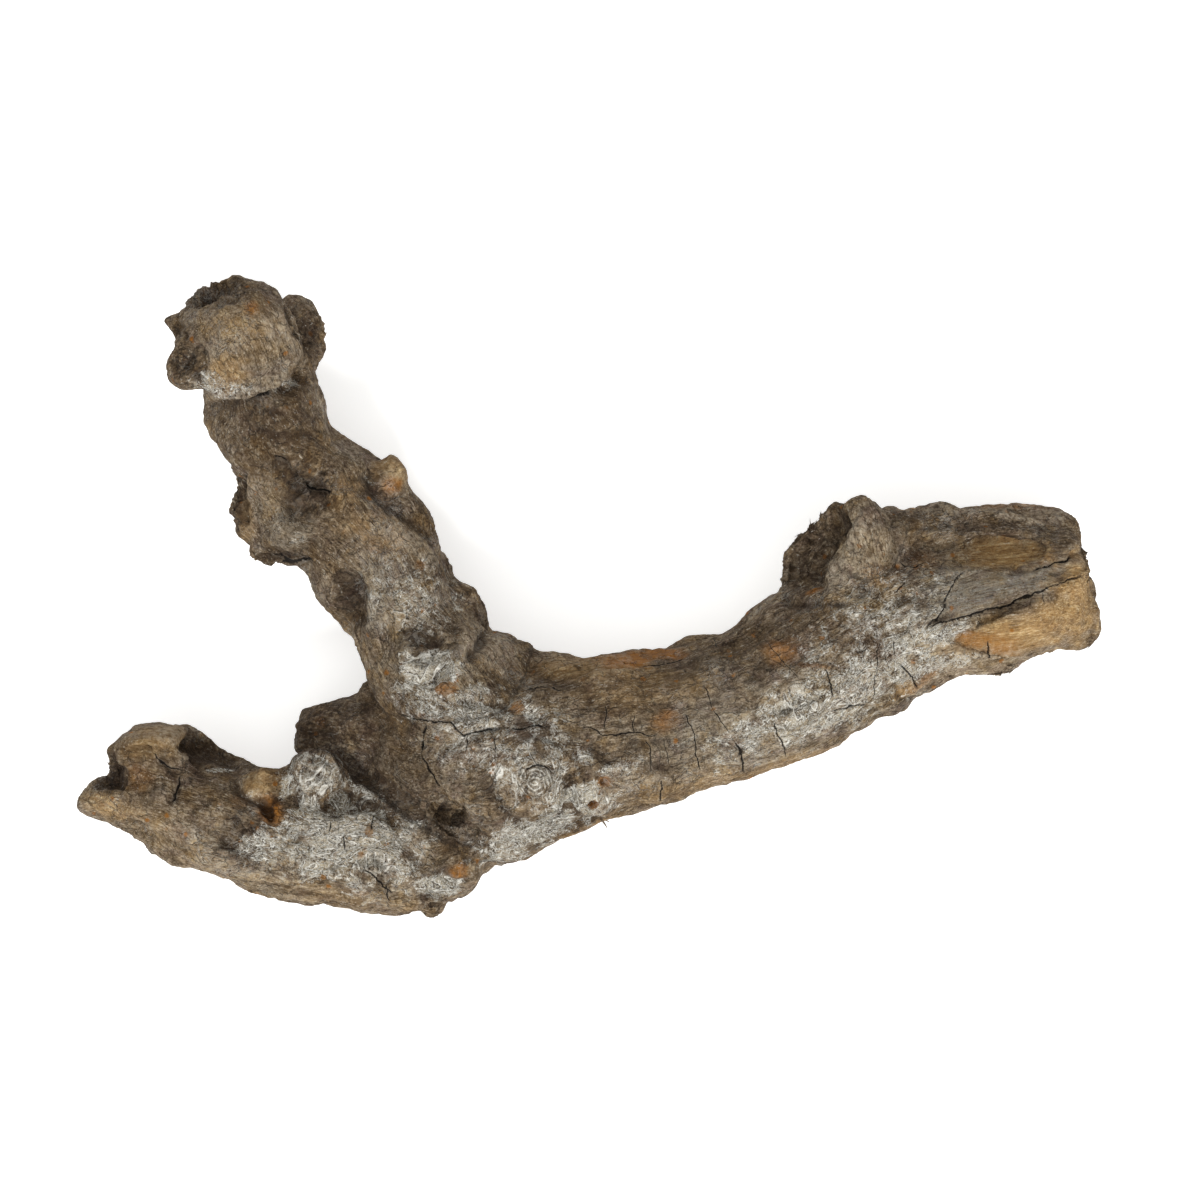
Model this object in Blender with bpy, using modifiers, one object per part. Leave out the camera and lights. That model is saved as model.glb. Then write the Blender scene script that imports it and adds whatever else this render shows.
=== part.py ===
"""A forked, knotted piece of driftwood, lying on a flat surface.

It grew as one piece, so it is one object. The thick trunk runs from a broken end at +X to a
swollen fork. A branch climbs from the fork to a ball-shaped head with pruned stubs, and a
shorter limb lies in front of the trunk and ends in a broken hollow at -X.

Metres, +Z up, +Y towards the head. The origin is on the ground under the middle of the piece.
"""

import math

import bmesh
import bpy
import numpy as np
from mathutils import Matrix, Vector, noise

# Driving dimensions.
LENGTH = 0.450  # tip of the hollow limb to the broken end of the trunk
MM = LENGTH / 450  # one millimetre of the measured piece, so that all sizes follow LENGTH
SKIN = 2.2 * MM  # grid that the limbs and knobs are fused on
FILLET_PASSES = 4  # smoothing passes that turn the joints between limbs into fillets
EDGE_PASSES = 1  # passes that soften the rims of the hollows
TRIANGLES = 11400  # faces kept in the finished solid
WOOD_COLOUR = (0.27, 0.22, 0.17, 1.0)
WOOD_ROUGHNESS = 0.92

# Limbs, as stations (x, y, z, radius) along each centre line, in millimetres.
LIMBS = {
    "trunk": (
        (217, 8, 38, 27), (206, 8, 38, 30.5), (190, 8, 38, 34), (163, 4.5, 38, 37), (139, -4, 39, 37),
        (116, -18.5, 39, 36.5), (94, -33, 39, 36), (68, -45, 39, 33.5), (37, -53, 41, 34.5),
        (6, -59, 43, 37), (-21, -67, 44, 40), (-48, -74, 43, 39.5), (-72, -73, 39, 29), (-88, -70, 36, 22),
    ),
    "end_tongue": ((170, -5, 37, 20), (200, -4, 38, 19), (225, -2, 38, 16)),
    "crest": ((112, 14, 50, 17), (132, 25, 51, 17), (150, 26, 49, 17), (172, 22.5, 46, 16)),
    "branch": (
        (-39, -58, 47, 30), (-59, -40, 48, 30), (-75, -17, 43, 26), (-90, 12, 36, 28.5),
        (-106, 37, 33, 31.5), (-127, 56, 38, 27), (-139.5, 78, 51, 26), (-142, 98, 63, 26),
    ),
    "limb": (
        (-24, -84, 40, 20), (-40, -97, 39, 15), (-56, -114, 38, 13.5), (-72, -114, 40, 22),
        (-92, -109.5, 42, 28.5), (-118, -105.5, 43, 29), (-146, -99, 43, 28), (-171, -93.5, 43, 25.5),
        (-191, -88, 43, 20), (-208, -86.5, 43, 14), (-226.5, -86, 42, 6),
    ),
    "back_stub": ((-76, -64, 37, 20), (-97, -59, 31, 18), (-115, -57.5, 27, 17), (-128.5, -60.5, 25, 13.5)),
    "spur": ((126, -8, 46, 19), (126, 16, 57, 14), (122, 35, 62, 9), (118, 49, 63, 5)),
    "scar_rim": ((94, -6, 44, 9), (95.5, 14, 49, 6.5), (104, 31, 53, 5.5), (114, 43, 56, 5)),
    "back_ridge": ((-182, -61, 42, 8), (-167, -72, 38, 8.5), (-146, -82, 37, 10)),
}

# Knobs, stubs and swellings: centre, radii and turn about Z in degrees, in millimetres.
KNOBS = {
    "head": ((-151, 113.5, 80), (28, 27, 26), 20),
    "head_brow": ((-168, 122, 78), (16, 11, 14), 40),
    "head_back_stub": ((-127, 117.5, 58), (12.5, 18, 14), 12),
    "head_rough_stub": ((-171.5, 102, 83), (10.5, 13, 11), 0),
    "head_nib": ((-182, 122.5, 78), (6, 4, 4.5), 10),
    "branch_nub": ((-87, 57, 45), (8, 9.5, 9), -25),
    "elbow_knob": ((-56.5, -3, 38), (10.5, 13, 12), 30),
    "shoulder_swelling": ((-130, 35, 38), (22, 19, 22), 0),
    "shoulder_fin": ((-153.5, 44, 37), (6, 16, 10), -4),
    "shoulder_flake": ((-141.5, 26.5, 38), (10, 5.5, 8), -12),
    "collar_knot": ((-73, -24, 58), (14, 13, 17), 0),
    "swirl_knot": ((-22, -76, 65), (18, 17, 21), 0),
    "pin_knot": ((2, -86, 57), (12, 10, 14), 20),
    "limb_knob": ((-118, -75.5, 58), (14.5, 14, 16), 0),
    "tan_knob": ((-141, -78.5, 56), (10.5, 8.5, 12), -5),
    "limb_ear": ((-194.5, -65.5, 50), (19, 12, 13), 14),
    "cut_stub": ((-68, -133.5, 32), (9, 9, 10), -20),
    "orange_nub": ((-55, -117, 48), (9.5, 9, 9), 0),
    "trunk_nub": ((139, -41, 34), (7, 5, 7), 25),
    "gap_nub": ((-98, -39.5, 32), (5, 4.5, 6), 0),
    "scar_boss": ((105, 16, 43), (19, 25, 16), -30),
    "crotch_web": ((-38, -27, 42), (19, 13, 20), -20),
    "limb_root": ((-92, -86, 38), (28, 16, 24), 0),
    "belly_knot": ((34, -81, 27), (13, 9, 12), 20),
    "back_knot": ((52, -21, 30), (12, 8, 11), -15),
    "trunk_foot": ((150, 0, 20), (30, 22, 22), 0),
    "fork_foot": ((-62, -94, 26), (32, 23, 28), -15),
    "branch_foot": ((-116, 40, 25), (25, 23, 27), 20),
}

# Hollows pressed into the wood: centre, radii and turn about Z in degrees, in millimetres.
HOLLOWS = {
    "end_trough": ((176, 23, 72), (39, 10, 13), -7),
    "end_core": ((229, 12, 44), (13, 17, 15), 0),
    "scar_cup": ((104, 20, 67), (8, 14, 14), -36),
    "limb_mouth": ((-222, -75.5, 50), (9, 5.5, 9), 15),
    "limb_valley": ((-161, -66, 57), (14, 6, 14), -28),
    "fork_crevice": ((-58, -94, 72), (15, 7, 20), -40),
    "fork_slit": ((-100, -87, 70), (20, 3.5, 12), -12),
    "branch_scar": ((-110, 1, 61), (5, 17, 9), -18),
    "shoulder_wound": ((-126, 50, 74), (14, 12, 8), 30),
    "limb_dip": ((-161, -100, 70), (13, 9, 8), 0),
    "head_scar": ((-163, 135, 94), (16, 7, 10), 30),
}

# Cracks: points (x, y) across the upper side, then width and depth, in millimetres.
CRACKS = {
    "end_crack": (((143, -15), (160, -9), (178, -2), (200, 6), (224, 15)), 4.0, 3.2),
    "shelf_crack": (((148, -10), (154, 2), (158, 14), (168, 21)), 3.2, 2.0),
    "collar_crack": (((-88, -49), (-79, -52), (-60, -56), (-53, -59), (-43, -54), (-32, -53)), 3.6, 2.6),
    "body_crack": (((-71, -52), (-73, -66), (-72, -82), (-62, -90)), 3.2, 2.0),
    "ear_crack": (((-180, -75), (-184, -86)), 3.2, 2.4),
    "trunk_crack": (((63, -50), (69, -61), (73, -72)), 3.0, 2.0),
}

# Ledges: the wood on the right of the line stands proud by the rise and falls away over the reach.
LEDGES = {
    "bark_shelf": (((224, 16), (200, 7), (178, -1), (160, -8), (143, -14)), 2.6, 26),
    "collar": (((-32, -52), (-43, -53), (-53, -58), (-60, -55), (-79, -51), (-88, -48)), 2.8, 18),
}

# Knots whose rings show in the solid: number of rings and their height in millimetres. Where the
# height is negative the eye of the knot is sunk.
RINGED_KNOTS = {
    "swirl_knot": (2, 1.5),
    "collar_knot": (1, -2.0),
    "limb_knob": (1.5, 1.5),
    "pin_knot": (1, -1.5),
}
KNOT_REACH = 1.2  # the rings end here, in radii of the knot
KNOT_FALL = 3  # how fast they die out before that

# Relief, in millimetres. Flutes run along the grain, and gnarls are as wide as they are long.
FLUTE_WIDTH = 10.0
FLUTE_RUN = 60.0
FLUTE_HEIGHT = 5.0
LUMP_SIZE = 26.0
LUMP_HEIGHT = 4.0
GNARL_SIZE = 11.0
GNARL_HEIGHT = 3.2
CREASE_LEVEL = 0.26  # mean of the creased noise, so that the relief neither swells nor thins the wood
WORN_BELOW = 9.0  # the relief is worn away below this height over the ground
WORN_SHARE = 0.1  # what is left of it there
UPPER_SIDE = 3  # cracks and ledges reach full depth where the skin faces up by a third or more
TAPER = 2.5  # how soon a crack reaches its full depth from its ends
NOISE_STEP = Vector((17.3, -9.1, 5.7))  # from one noise to the next
MERGE = 0.01 * MM  # points this near are one
GROUND_DEPTH = 30 * MM  # of the slab that wears the feet flat


def clear_scene():
    """Removes the startup objects."""
    for obj in list(bpy.data.objects):
        bpy.data.objects.remove(obj)


def collection(name):
    made = bpy.data.collections.new(name)
    bpy.context.scene.collection.children.link(made)
    return made


def smooth_path(stations, steps=6):
    """Catmull-Rom curve through the stations, steps points to a span."""
    s = np.array(stations, float)
    s = np.vstack([2 * s[0] - s[1], s, 2 * s[-1] - s[-2]])
    out = []
    for i in range(1, len(s) - 2):
        for t in np.linspace(0, 1, steps, endpoint=False):
            out.append(0.5 * (
                2 * s[i] + (s[i + 1] - s[i - 1]) * t
                + (2 * s[i - 1] - 5 * s[i] + 4 * s[i + 1] - s[i + 2]) * t**2
                + (3 * s[i] - s[i - 1] - 3 * s[i + 1] + s[i + 2]) * t**3
            ))
    out.append(s[-2])
    return np.array(out)


def limb(name, stations, into):
    """A tapering round limb: a curve whose bevel follows the radius of each station."""
    path = smooth_path(stations) * MM
    curve = bpy.data.curves.new(name, "CURVE")
    curve.dimensions = "3D"
    curve.bevel_depth = 1.0
    curve.bevel_resolution = 6
    curve.use_fill_caps = True
    spline = curve.splines.new("POLY")
    spline.points.add(len(path) - 1)
    for point, (x, y, z, radius) in zip(spline.points, path):
        point.co = (x, y, z, 1)
        point.radius = radius
    obj = bpy.data.objects.new(name, curve)
    into.objects.link(obj)
    return obj


def ball(name, centre, radii, turn, into, steps=32):
    """An egg-shaped knob, or the cutter of a hollow."""
    bm = bmesh.new()
    bmesh.ops.create_uvsphere(bm, u_segments=steps, v_segments=steps // 2, radius=1)
    mesh = bpy.data.meshes.new(name)
    bm.to_mesh(mesh)
    bm.free()
    obj = bpy.data.objects.new(name, mesh)
    obj.scale = [r * MM for r in radii]
    obj.rotation_euler = (0, 0, math.radians(turn))
    obj.location = [c * MM for c in centre]
    into.objects.link(obj)
    return obj


def as_mesh(obj):
    """The object's evaluated shape, in world space, as a new mesh."""
    bpy.context.view_layer.update()
    graph = bpy.context.evaluated_depsgraph_get()
    mesh = bpy.data.meshes.new_from_object(obj.evaluated_get(graph))
    mesh.transform(obj.matrix_world)
    return mesh


def gathered(name, pieces, into):
    """The pieces' shapes in one object. They still overlap."""
    bm = bmesh.new()
    for piece in pieces:
        bm.from_mesh(as_mesh(piece))
    bmesh.ops.remove_doubles(bm, verts=bm.verts, dist=MERGE)
    mesh = bpy.data.meshes.new(name)
    bm.to_mesh(mesh)
    bm.free()
    for piece in pieces:
        bpy.data.objects.remove(piece)
    obj = bpy.data.objects.new(name, mesh)
    into.objects.link(obj)
    return obj


def applied(obj):
    """Turns the object's modifiers into its mesh."""
    mesh = as_mesh(obj)
    obj.modifiers.clear()
    obj.data = mesh
    return obj


def fuse(obj, passes):
    """One skin over everything that overlaps, with soft joints."""
    remesh = obj.modifiers.new("fuse", "REMESH")
    remesh.mode = "VOXEL"
    remesh.voxel_size = SKIN
    fillet = obj.modifiers.new("fillet", "SMOOTH")
    fillet.factor = 0.5
    fillet.iterations = passes
    return applied(obj)


def cut_hollows(wood, cutters):
    """Takes the hollows out of the wood."""
    cut = wood.modifiers.new("hollows", "BOOLEAN")
    cut.operation = "DIFFERENCE"
    cut.operand_type = "COLLECTION"
    cut.collection = cutters
    return applied(wood)


def read(mesh, what):
    """Positions or normals of a mesh's points, as an array."""
    values = np.empty(len(mesh.vertices) * 3, np.float32)
    mesh.vertices.foreach_get(what, values)
    return values.reshape(-1, 3).astype(float)


def grain_space(points):
    """Distance along the nearest limb, sideways and up from its centre line, in millimetres."""
    best = np.full(len(points), np.inf)
    grain = np.zeros((len(points), 3))
    for stations in LIMBS.values():
        path = smooth_path(stations)
        run = 0.0
        for a, b in zip(path[:-1], path[1:]):
            step = b[:3] - a[:3]
            length = np.linalg.norm(step)
            along = step / length
            side = np.cross(along, (0, 0, 1))
            side /= np.linalg.norm(side)
            up = np.cross(side, along)
            offset = points - a[:3]
            t = np.clip(offset @ along, 0, length)
            radius = a[3] + (b[3] - a[3]) * t / length
            gap = np.linalg.norm(offset - t[:, None] * along, axis=1) - radius
            near = gap < best
            best[near] = gap[near]
            grain[near] = np.stack([run + t, offset @ side, offset @ up], 1)[near]
            run += length
    return grain


def noise_field(points, size, seed):
    """Smooth noise from -1 to 1 whose lumps are about size across."""
    return np.array([noise.noise(Vector(p) / size + seed * NOISE_STEP) for p in points])


def creased(points, size, seed):
    """Rounded swellings, about size across, that meet in sharp creases."""
    return np.abs(noise_field(points, size, seed)) - CREASE_LEVEL


def from_line(points, line):
    """Distance across the line, positive on its left, and the share of the way along it."""
    xy = points[:, :2]
    best = np.full(len(xy), np.inf)
    signed = np.zeros(len(xy))
    share = np.zeros(len(xy))
    spans = len(line) - 1
    for i in range(spans):
        a, b = np.array(line[i], float), np.array(line[i + 1], float)
        step = b - a
        t = np.clip(((xy - a) @ step) / (step @ step), 0, 1)
        offset = xy - a - t[:, None] * step
        distance = np.linalg.norm(offset, axis=1)
        side = np.sign(step[0] * offset[:, 1] - step[1] * offset[:, 0])
        near = distance < best
        best[near] = distance[near]
        signed[near] = (side * distance)[near]
        share[near] = ((i + t) / spans)[near]
    return signed, share


def fade(share):
    """Nought at both ends of a line and one between, so that cracks taper out."""
    return np.clip(np.sin(np.pi * share) * TAPER, 0, 1)


def crack_relief(points, facing_up):
    """How far the cracks and ledges lower or raise the surface, in millimetres."""
    height = np.zeros(len(points))
    for line, width, depth in CRACKS.values():
        signed, share = from_line(points, line)
        groove = np.clip(1 - np.abs(signed) / (width / 2), 0, 1)
        height -= depth * groove * fade(share) * facing_up
    for line, rise, reach in LEDGES.values():
        signed, share = from_line(points, line)
        proud = np.where(signed < 0, np.clip(1 + signed / reach, 0, 1), 0)
        height += rise * proud * fade(share) * facing_up
    return height


def knot_relief(points):
    """Rings that stand round the knots, in millimetres, and how far each point lies inside one."""
    height = np.zeros(len(points))
    inside = np.zeros(len(points))
    for name, (rings, rise) in RINGED_KNOTS.items():
        centre, radii, _ = KNOBS[name]
        share = np.linalg.norm(points[:, :2] - np.array(centre[:2]), axis=1) / max(radii[:2])
        within = np.clip((KNOT_REACH - share) * KNOT_FALL, 0, 1) * (points[:, 2] > centre[2])
        height += rise * np.cos(share * rings * 2 * math.pi) * within
        inside = np.maximum(inside, within)
    return height, inside


def weather(wood):
    """Carves flutes along the grain, lumps, gnarls, cracks and knot rings into the skin."""
    mesh = wood.data
    points = read(mesh, "co")
    normals = read(mesh, "normal")
    place = points / MM
    facing_up = np.clip(normals[:, 2] * UPPER_SIDE, 0, 1)
    grain = grain_space(place)
    stretched = grain / np.array([FLUTE_RUN / FLUTE_WIDTH, 1, 1])
    height = FLUTE_HEIGHT * creased(stretched, FLUTE_WIDTH, 1)
    height += LUMP_HEIGHT * noise_field(place, LUMP_SIZE, 2)
    height += GNARL_HEIGHT * creased(place, GNARL_SIZE, 3)
    rings, in_knot = knot_relief(place)
    height = height * (1 - in_knot) + rings + crack_relief(place, facing_up)
    height *= np.clip(place[:, 2] / WORN_BELOW, WORN_SHARE, 1)
    mesh.vertices.foreach_set("co", (points + normals * (height * MM)[:, None]).ravel())
    mesh.update()


def thin_out(wood):
    """Keeps the faces that the shape needs."""
    wood.data.calc_loop_triangles()
    collapse = wood.modifiers.new("thin_out", "DECIMATE")
    collapse.ratio = TRIANGLES / len(wood.data.loop_triangles)
    collapse.use_collapse_triangulate = True
    return applied(wood)


def slab(name, size, depth, into):
    """A square slab whose top is at Z = 0."""
    bm = bmesh.new()
    bmesh.ops.create_cube(bm, size=1)
    mesh = bpy.data.meshes.new(name)
    bm.to_mesh(mesh)
    bm.free()
    obj = bpy.data.objects.new(name, mesh)
    obj.scale = (size, size, depth)
    obj.location = (0, 0, -depth / 2)
    into.objects.link(obj)
    return obj


def stand_on_ground(wood, cutters):
    """Wears the three feet flat at Z = 0 and puts the origin under the middle of the piece."""
    cut = wood.modifiers.new("worn_feet", "BOOLEAN")
    cut.operation = "DIFFERENCE"
    cut.object = slab("ground", LENGTH * 1.5, GROUND_DEPTH, cutters)
    applied(wood)
    points = read(wood.data, "co")
    middle = (points.min(0) + points.max(0)) / 2
    print("moved to the middle by, mm:", np.round(-middle[:2] / MM, 2))
    wood.data.transform(Matrix.Translation((-middle[0], -middle[1], 0)))


def driftwood_material():
    material = bpy.data.materials.new("weathered_driftwood")
    material.use_nodes = True
    shader = material.node_tree.nodes["Principled BSDF"]
    shader.inputs["Base Color"].default_value = WOOD_COLOUR
    shader.inputs["Roughness"].default_value = WOOD_ROUGHNESS
    return material


def main():
    clear_scene()
    shapes = collection("driftwood_piece")
    cutters = collection("cutters")
    pieces = [limb(name, stations, shapes) for name, stations in LIMBS.items()]
    pieces += [ball(name, *sizes, shapes) for name, sizes in KNOBS.items()]
    wood = fuse(gathered("driftwood", pieces, shapes), FILLET_PASSES)
    for name, sizes in HOLLOWS.items():
        ball(name, *sizes, cutters)
    cut_hollows(wood, cutters)
    fuse(wood, EDGE_PASSES)
    weather(wood)
    thin_out(wood)
    stand_on_ground(wood, cutters)
    wood.data.materials.append(driftwood_material())
    wood.data.shade_smooth()
    for cutter in cutters.objects:
        cutter.hide_render = True
        cutter.display_type = "WIRE"


main()
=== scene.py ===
# %% [markdown]
# # A knotted piece of driftwood
# The real thing is one forked root or branch, about 45 cm long, that water and sun have stripped
# of most of its bark. The solid model has its whole form. This script makes the surface: a finer
# skin over that form, with grain, cracks, knots and a dry, dusty finish.
# Everything is in metres. Sizes that a maker would measure are written in millimetres times MM.

# %% Load the solid
import math

import bmesh
import bpy
import numpy as np
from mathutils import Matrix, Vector, noise
from mathutils.bvhtree import BVHTree


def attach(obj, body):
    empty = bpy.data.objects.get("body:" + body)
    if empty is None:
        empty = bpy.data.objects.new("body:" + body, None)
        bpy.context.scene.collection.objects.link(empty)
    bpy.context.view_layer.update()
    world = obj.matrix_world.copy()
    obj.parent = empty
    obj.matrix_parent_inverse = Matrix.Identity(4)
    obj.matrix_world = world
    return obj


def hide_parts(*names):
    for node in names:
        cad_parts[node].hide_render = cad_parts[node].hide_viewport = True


MM = 0.001
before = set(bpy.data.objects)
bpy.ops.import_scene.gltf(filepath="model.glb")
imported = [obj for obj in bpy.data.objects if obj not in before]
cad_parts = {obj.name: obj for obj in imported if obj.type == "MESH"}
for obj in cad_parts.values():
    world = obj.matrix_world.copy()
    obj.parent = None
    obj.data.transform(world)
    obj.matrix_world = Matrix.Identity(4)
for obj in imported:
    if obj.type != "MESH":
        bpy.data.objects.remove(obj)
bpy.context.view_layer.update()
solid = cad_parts["driftwood"]

# %% [markdown]
# ## Camera
# The photograph looks straight down. How far away its camera was isn't known: a metre and a half
# with a long lens fits what it shows, and keeps the limbs from bulging. The camera has no turn, so
# the top of the picture is +Y.

# %% Camera
PHOTO_WIDE = 1198
PHOTO_TALL = 1200
LENS = 100
SENSOR = 36
CAMERA_SPOT = (4.3 * MM, 1.2 * MM, 1519 * MM)

scene = bpy.context.scene
lens = bpy.data.cameras.new("long_lens")
lens.lens = LENS
lens.sensor_width = SENSOR
camera = bpy.data.objects.new("camera", lens)
camera.location = CAMERA_SPOT
scene.collection.objects.link(camera)
scene.camera = camera
print("camera height in metres:", camera.location.z)

# %% [markdown]
# ## Studio
# A white sweep with large soft lights shows weathered wood best: hard light would turn each fibre
# black. Suns with a wide angle act as very large soft boxes, and light the floor evenly. The
# stronger one comes from the lower side of the picture, as in the photograph.

# %% Floor and light
def linear(code):
    """Turns an sRGB hex colour into the linear values that Blender mixes."""
    parts = [int(code[i : i + 2], 16) / 255 for i in (1, 3, 5)]
    return [c / 12.92 if c <= 0.04045 else ((c + 0.055) / 1.055) ** 2.4 for c in parts] + [1.0]


def add(tree, kind, sockets=None, **settings):
    """Adds a node. sockets gives inputs, by name or number, a value or another node's output."""
    node = tree.nodes.new(kind)
    for key, value in settings.items():
        setattr(node, key, value)
    for key, value in (sockets or {}).items():
        if isinstance(value, bpy.types.NodeSocket):
            tree.links.new(value, node.inputs[key])
        else:
            node.inputs[key].default_value = value
    return node


FLOOR_WHITE = "#f4f4f2"
FLOOR_GLOW = 0.5  # keeps the faint shadow as pale as in a studio cut-out
paper = bpy.data.materials.new("white_paper_sweep")
paper.use_nodes = True
paper_shader = paper.node_tree.nodes["Principled BSDF"]
paper_shader.inputs["Base Color"].default_value = linear(FLOOR_WHITE)
paper_shader.inputs["Roughness"].default_value = 0.9
paper_shader.inputs["Emission Color"].default_value = (1, 1, 1, 1)
paper_shader.inputs["Emission Strength"].default_value = FLOOR_GLOW

FLOOR_HALF = 6.0
floor_mesh = bpy.data.meshes.new("floor")
corners = [(-FLOOR_HALF, -FLOOR_HALF, 0), (FLOOR_HALF, -FLOOR_HALF, 0)]
corners += [(FLOOR_HALF, FLOOR_HALF, 0), (-FLOOR_HALF, FLOOR_HALF, 0)]
floor_mesh.from_pydata(corners, [], [(0, 1, 2, 3)])
floor_mesh.materials.append(paper)
floor = bpy.data.objects.new("floor", floor_mesh)
scene.collection.objects.link(floor)

# Each soft box: where it shines from, its strength and how wide it is in degrees.
SOFT_BOXES = {
    "key": ((0.3, -1.0, 1.0), 2.5, 16),
    "overhead": ((-0.15, 0.1, 1.0), 1.2, 70),
}
for name, (source, strength, angle) in SOFT_BOXES.items():
    lamp = bpy.data.lights.new(name, "SUN")
    lamp.energy = strength
    lamp.angle = math.radians(angle)
    box = bpy.data.objects.new(name, lamp)
    box.rotation_euler = Vector(source).to_track_quat("Z", "Y").to_euler()
    scene.collection.objects.link(box)

ROOM_LIGHT = 0.36
room = bpy.data.worlds.new("white_room")
room.use_nodes = True
room.node_tree.nodes["Background"].inputs["Color"].default_value = (1, 1, 1, 1)
room.node_tree.nodes["Background"].inputs["Strength"].default_value = ROOM_LIGHT
scene.world = room
scene.view_settings.view_transform = "Standard"
print("soft boxes:", list(SOFT_BOXES))

# %% [markdown]
# ## A fine blank
# The solid has about eleven thousand faces, which is enough for its form but not for grain. The
# blank is a copy of it with its loose triangles joined, rounded once by subdivision and covered
# with an even net of small quads. A voxel remesh gives quads of one size everywhere, so that
# carving is as sharp on the branch as on the trunk.

# %% Blank
NET = 0.9 * MM  # side of one quad of the net
JOIN = 0.01 * MM


def plain_mesh(obj):
    """The object's shape with its modifiers worked in, as a new mesh."""
    bpy.context.view_layer.update()
    graph = bpy.context.evaluated_depsgraph_get()
    return bpy.data.meshes.new_from_object(obj.evaluated_get(graph))


copy = bmesh.new()
copy.from_mesh(solid.data)
bmesh.ops.remove_doubles(copy, verts=copy.verts, dist=JOIN)
joined = bpy.data.meshes.new("joined")
copy.to_mesh(joined)
copy.free()
blank = bpy.data.objects.new("driftwood_surface", joined)
scene.collection.objects.link(blank)

rounding = blank.modifiers.new("rounding", "SUBSURF")
rounding.levels = 1
rounding.render_levels = 1
net = blank.modifiers.new("net", "REMESH")
net.mode = "VOXEL"
net.voxel_size = NET
relax = blank.modifiers.new("relax", "SMOOTH")
relax.factor = 0.5
relax.iterations = 13  # calms what is smaller than about 6 mm, which is carved anew below
fine = plain_mesh(blank)
blank.modifiers.clear()
blank.data = fine
print("blank:", len(fine.vertices), "points")

# %% [markdown]
# ## Places on the wood
# Marks are placed by where they show in the photograph. A ray from the camera through that pixel
# meets the wood at the mark's true place in space, so a mark also sits right seen from the side.

# %% Photograph to wood
PIXEL = SENSOR / LENS / PHOTO_TALL  # width of a pixel one metre from the camera
PX = 0.44 * MM  # width of a pixel on the wood
MID_HEIGHT = 45 * MM  # how far down a ray that misses the wood is followed


def read(mesh, what):
    """Positions or normals of a mesh's points."""
    values = np.empty(len(mesh.vertices) * 3, np.float32)
    mesh.vertices.foreach_get(what, values)
    return values.reshape(-1, 3).astype(float)


eye = np.array(CAMERA_SPOT)
quads = [p.vertices[:] for p in fine.polygons]


def survey():
    """Measures the blank: its points, where each shows in the picture, how far each faces up."""
    here = read(fine, "co")
    outward = read(fine, "normal")
    depth = eye[2] - here[:, 2]
    across = PHOTO_WIDE / 2 + (here[:, 0] - eye[0]) / (depth * PIXEL)
    down = PHOTO_TALL / 2 - (here[:, 1] - eye[1]) / (depth * PIXEL)
    up = np.clip(outward[:, 2] * 3 + 0.3, 0, 1)
    return here, across, down, up, BVHTree.FromPolygons(here.tolist(), quads)


points, seen_x, seen_y, facing_up, skin = survey()


def spot(px, py):
    """The point of the wood that shows at a pixel of the photograph."""
    way = Vector(((px - PHOTO_WIDE / 2) * PIXEL, -(py - PHOTO_TALL / 2) * PIXEL, -1))
    hit = skin.ray_cast(Vector(CAMERA_SPOT), way)[0]
    if hit is None:
        hit = skin.find_nearest(Vector(CAMERA_SPOT) + way * (CAMERA_SPOT[2] - MID_HEIGHT))[0]
    return np.array(hit)


def ramp(values, start, end):
    """Rises smoothly from 0 at start to 1 at end, or falls where end is the smaller."""
    share = np.clip((values - start) / (end - start), 0, 1)
    return share * share * (3 - 2 * share)


def lumps(size, seed):
    """Smooth noise over the wood, from about -1 to 1, with lumps of that size."""
    step = np.array((17.3, -9.1, 5.7)) * seed
    return np.array([noise.noise(p) for p in (points / size + step).tolist()]) * 1.6


def keep(name, values, kind="FLOAT", field="value"):
    """Stores one value for each point under a name that the nodes read."""
    layer = fine.attributes.new(name, kind, "POINT")
    layer.data.foreach_set(field, np.ascontiguousarray(values, np.float32).ravel())


def reshape(moved):
    """Moves the blank's points and measures it again."""
    fine.vertices.foreach_set("co", moved.astype(np.float32).ravel())
    fine.update()
    return survey()


print("the middle of the fork lies at", np.round(spot(520, 740), 3))

# %% [markdown]
# ## Nudges
# The blank is a little rounder than the real outline. A sculptor would use a grab brush: take
# hold of a round area and pull it, less towards its rim. The same brush is easy to write down as
# a place, a radius and a pull, and it can be repeated exactly.

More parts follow.
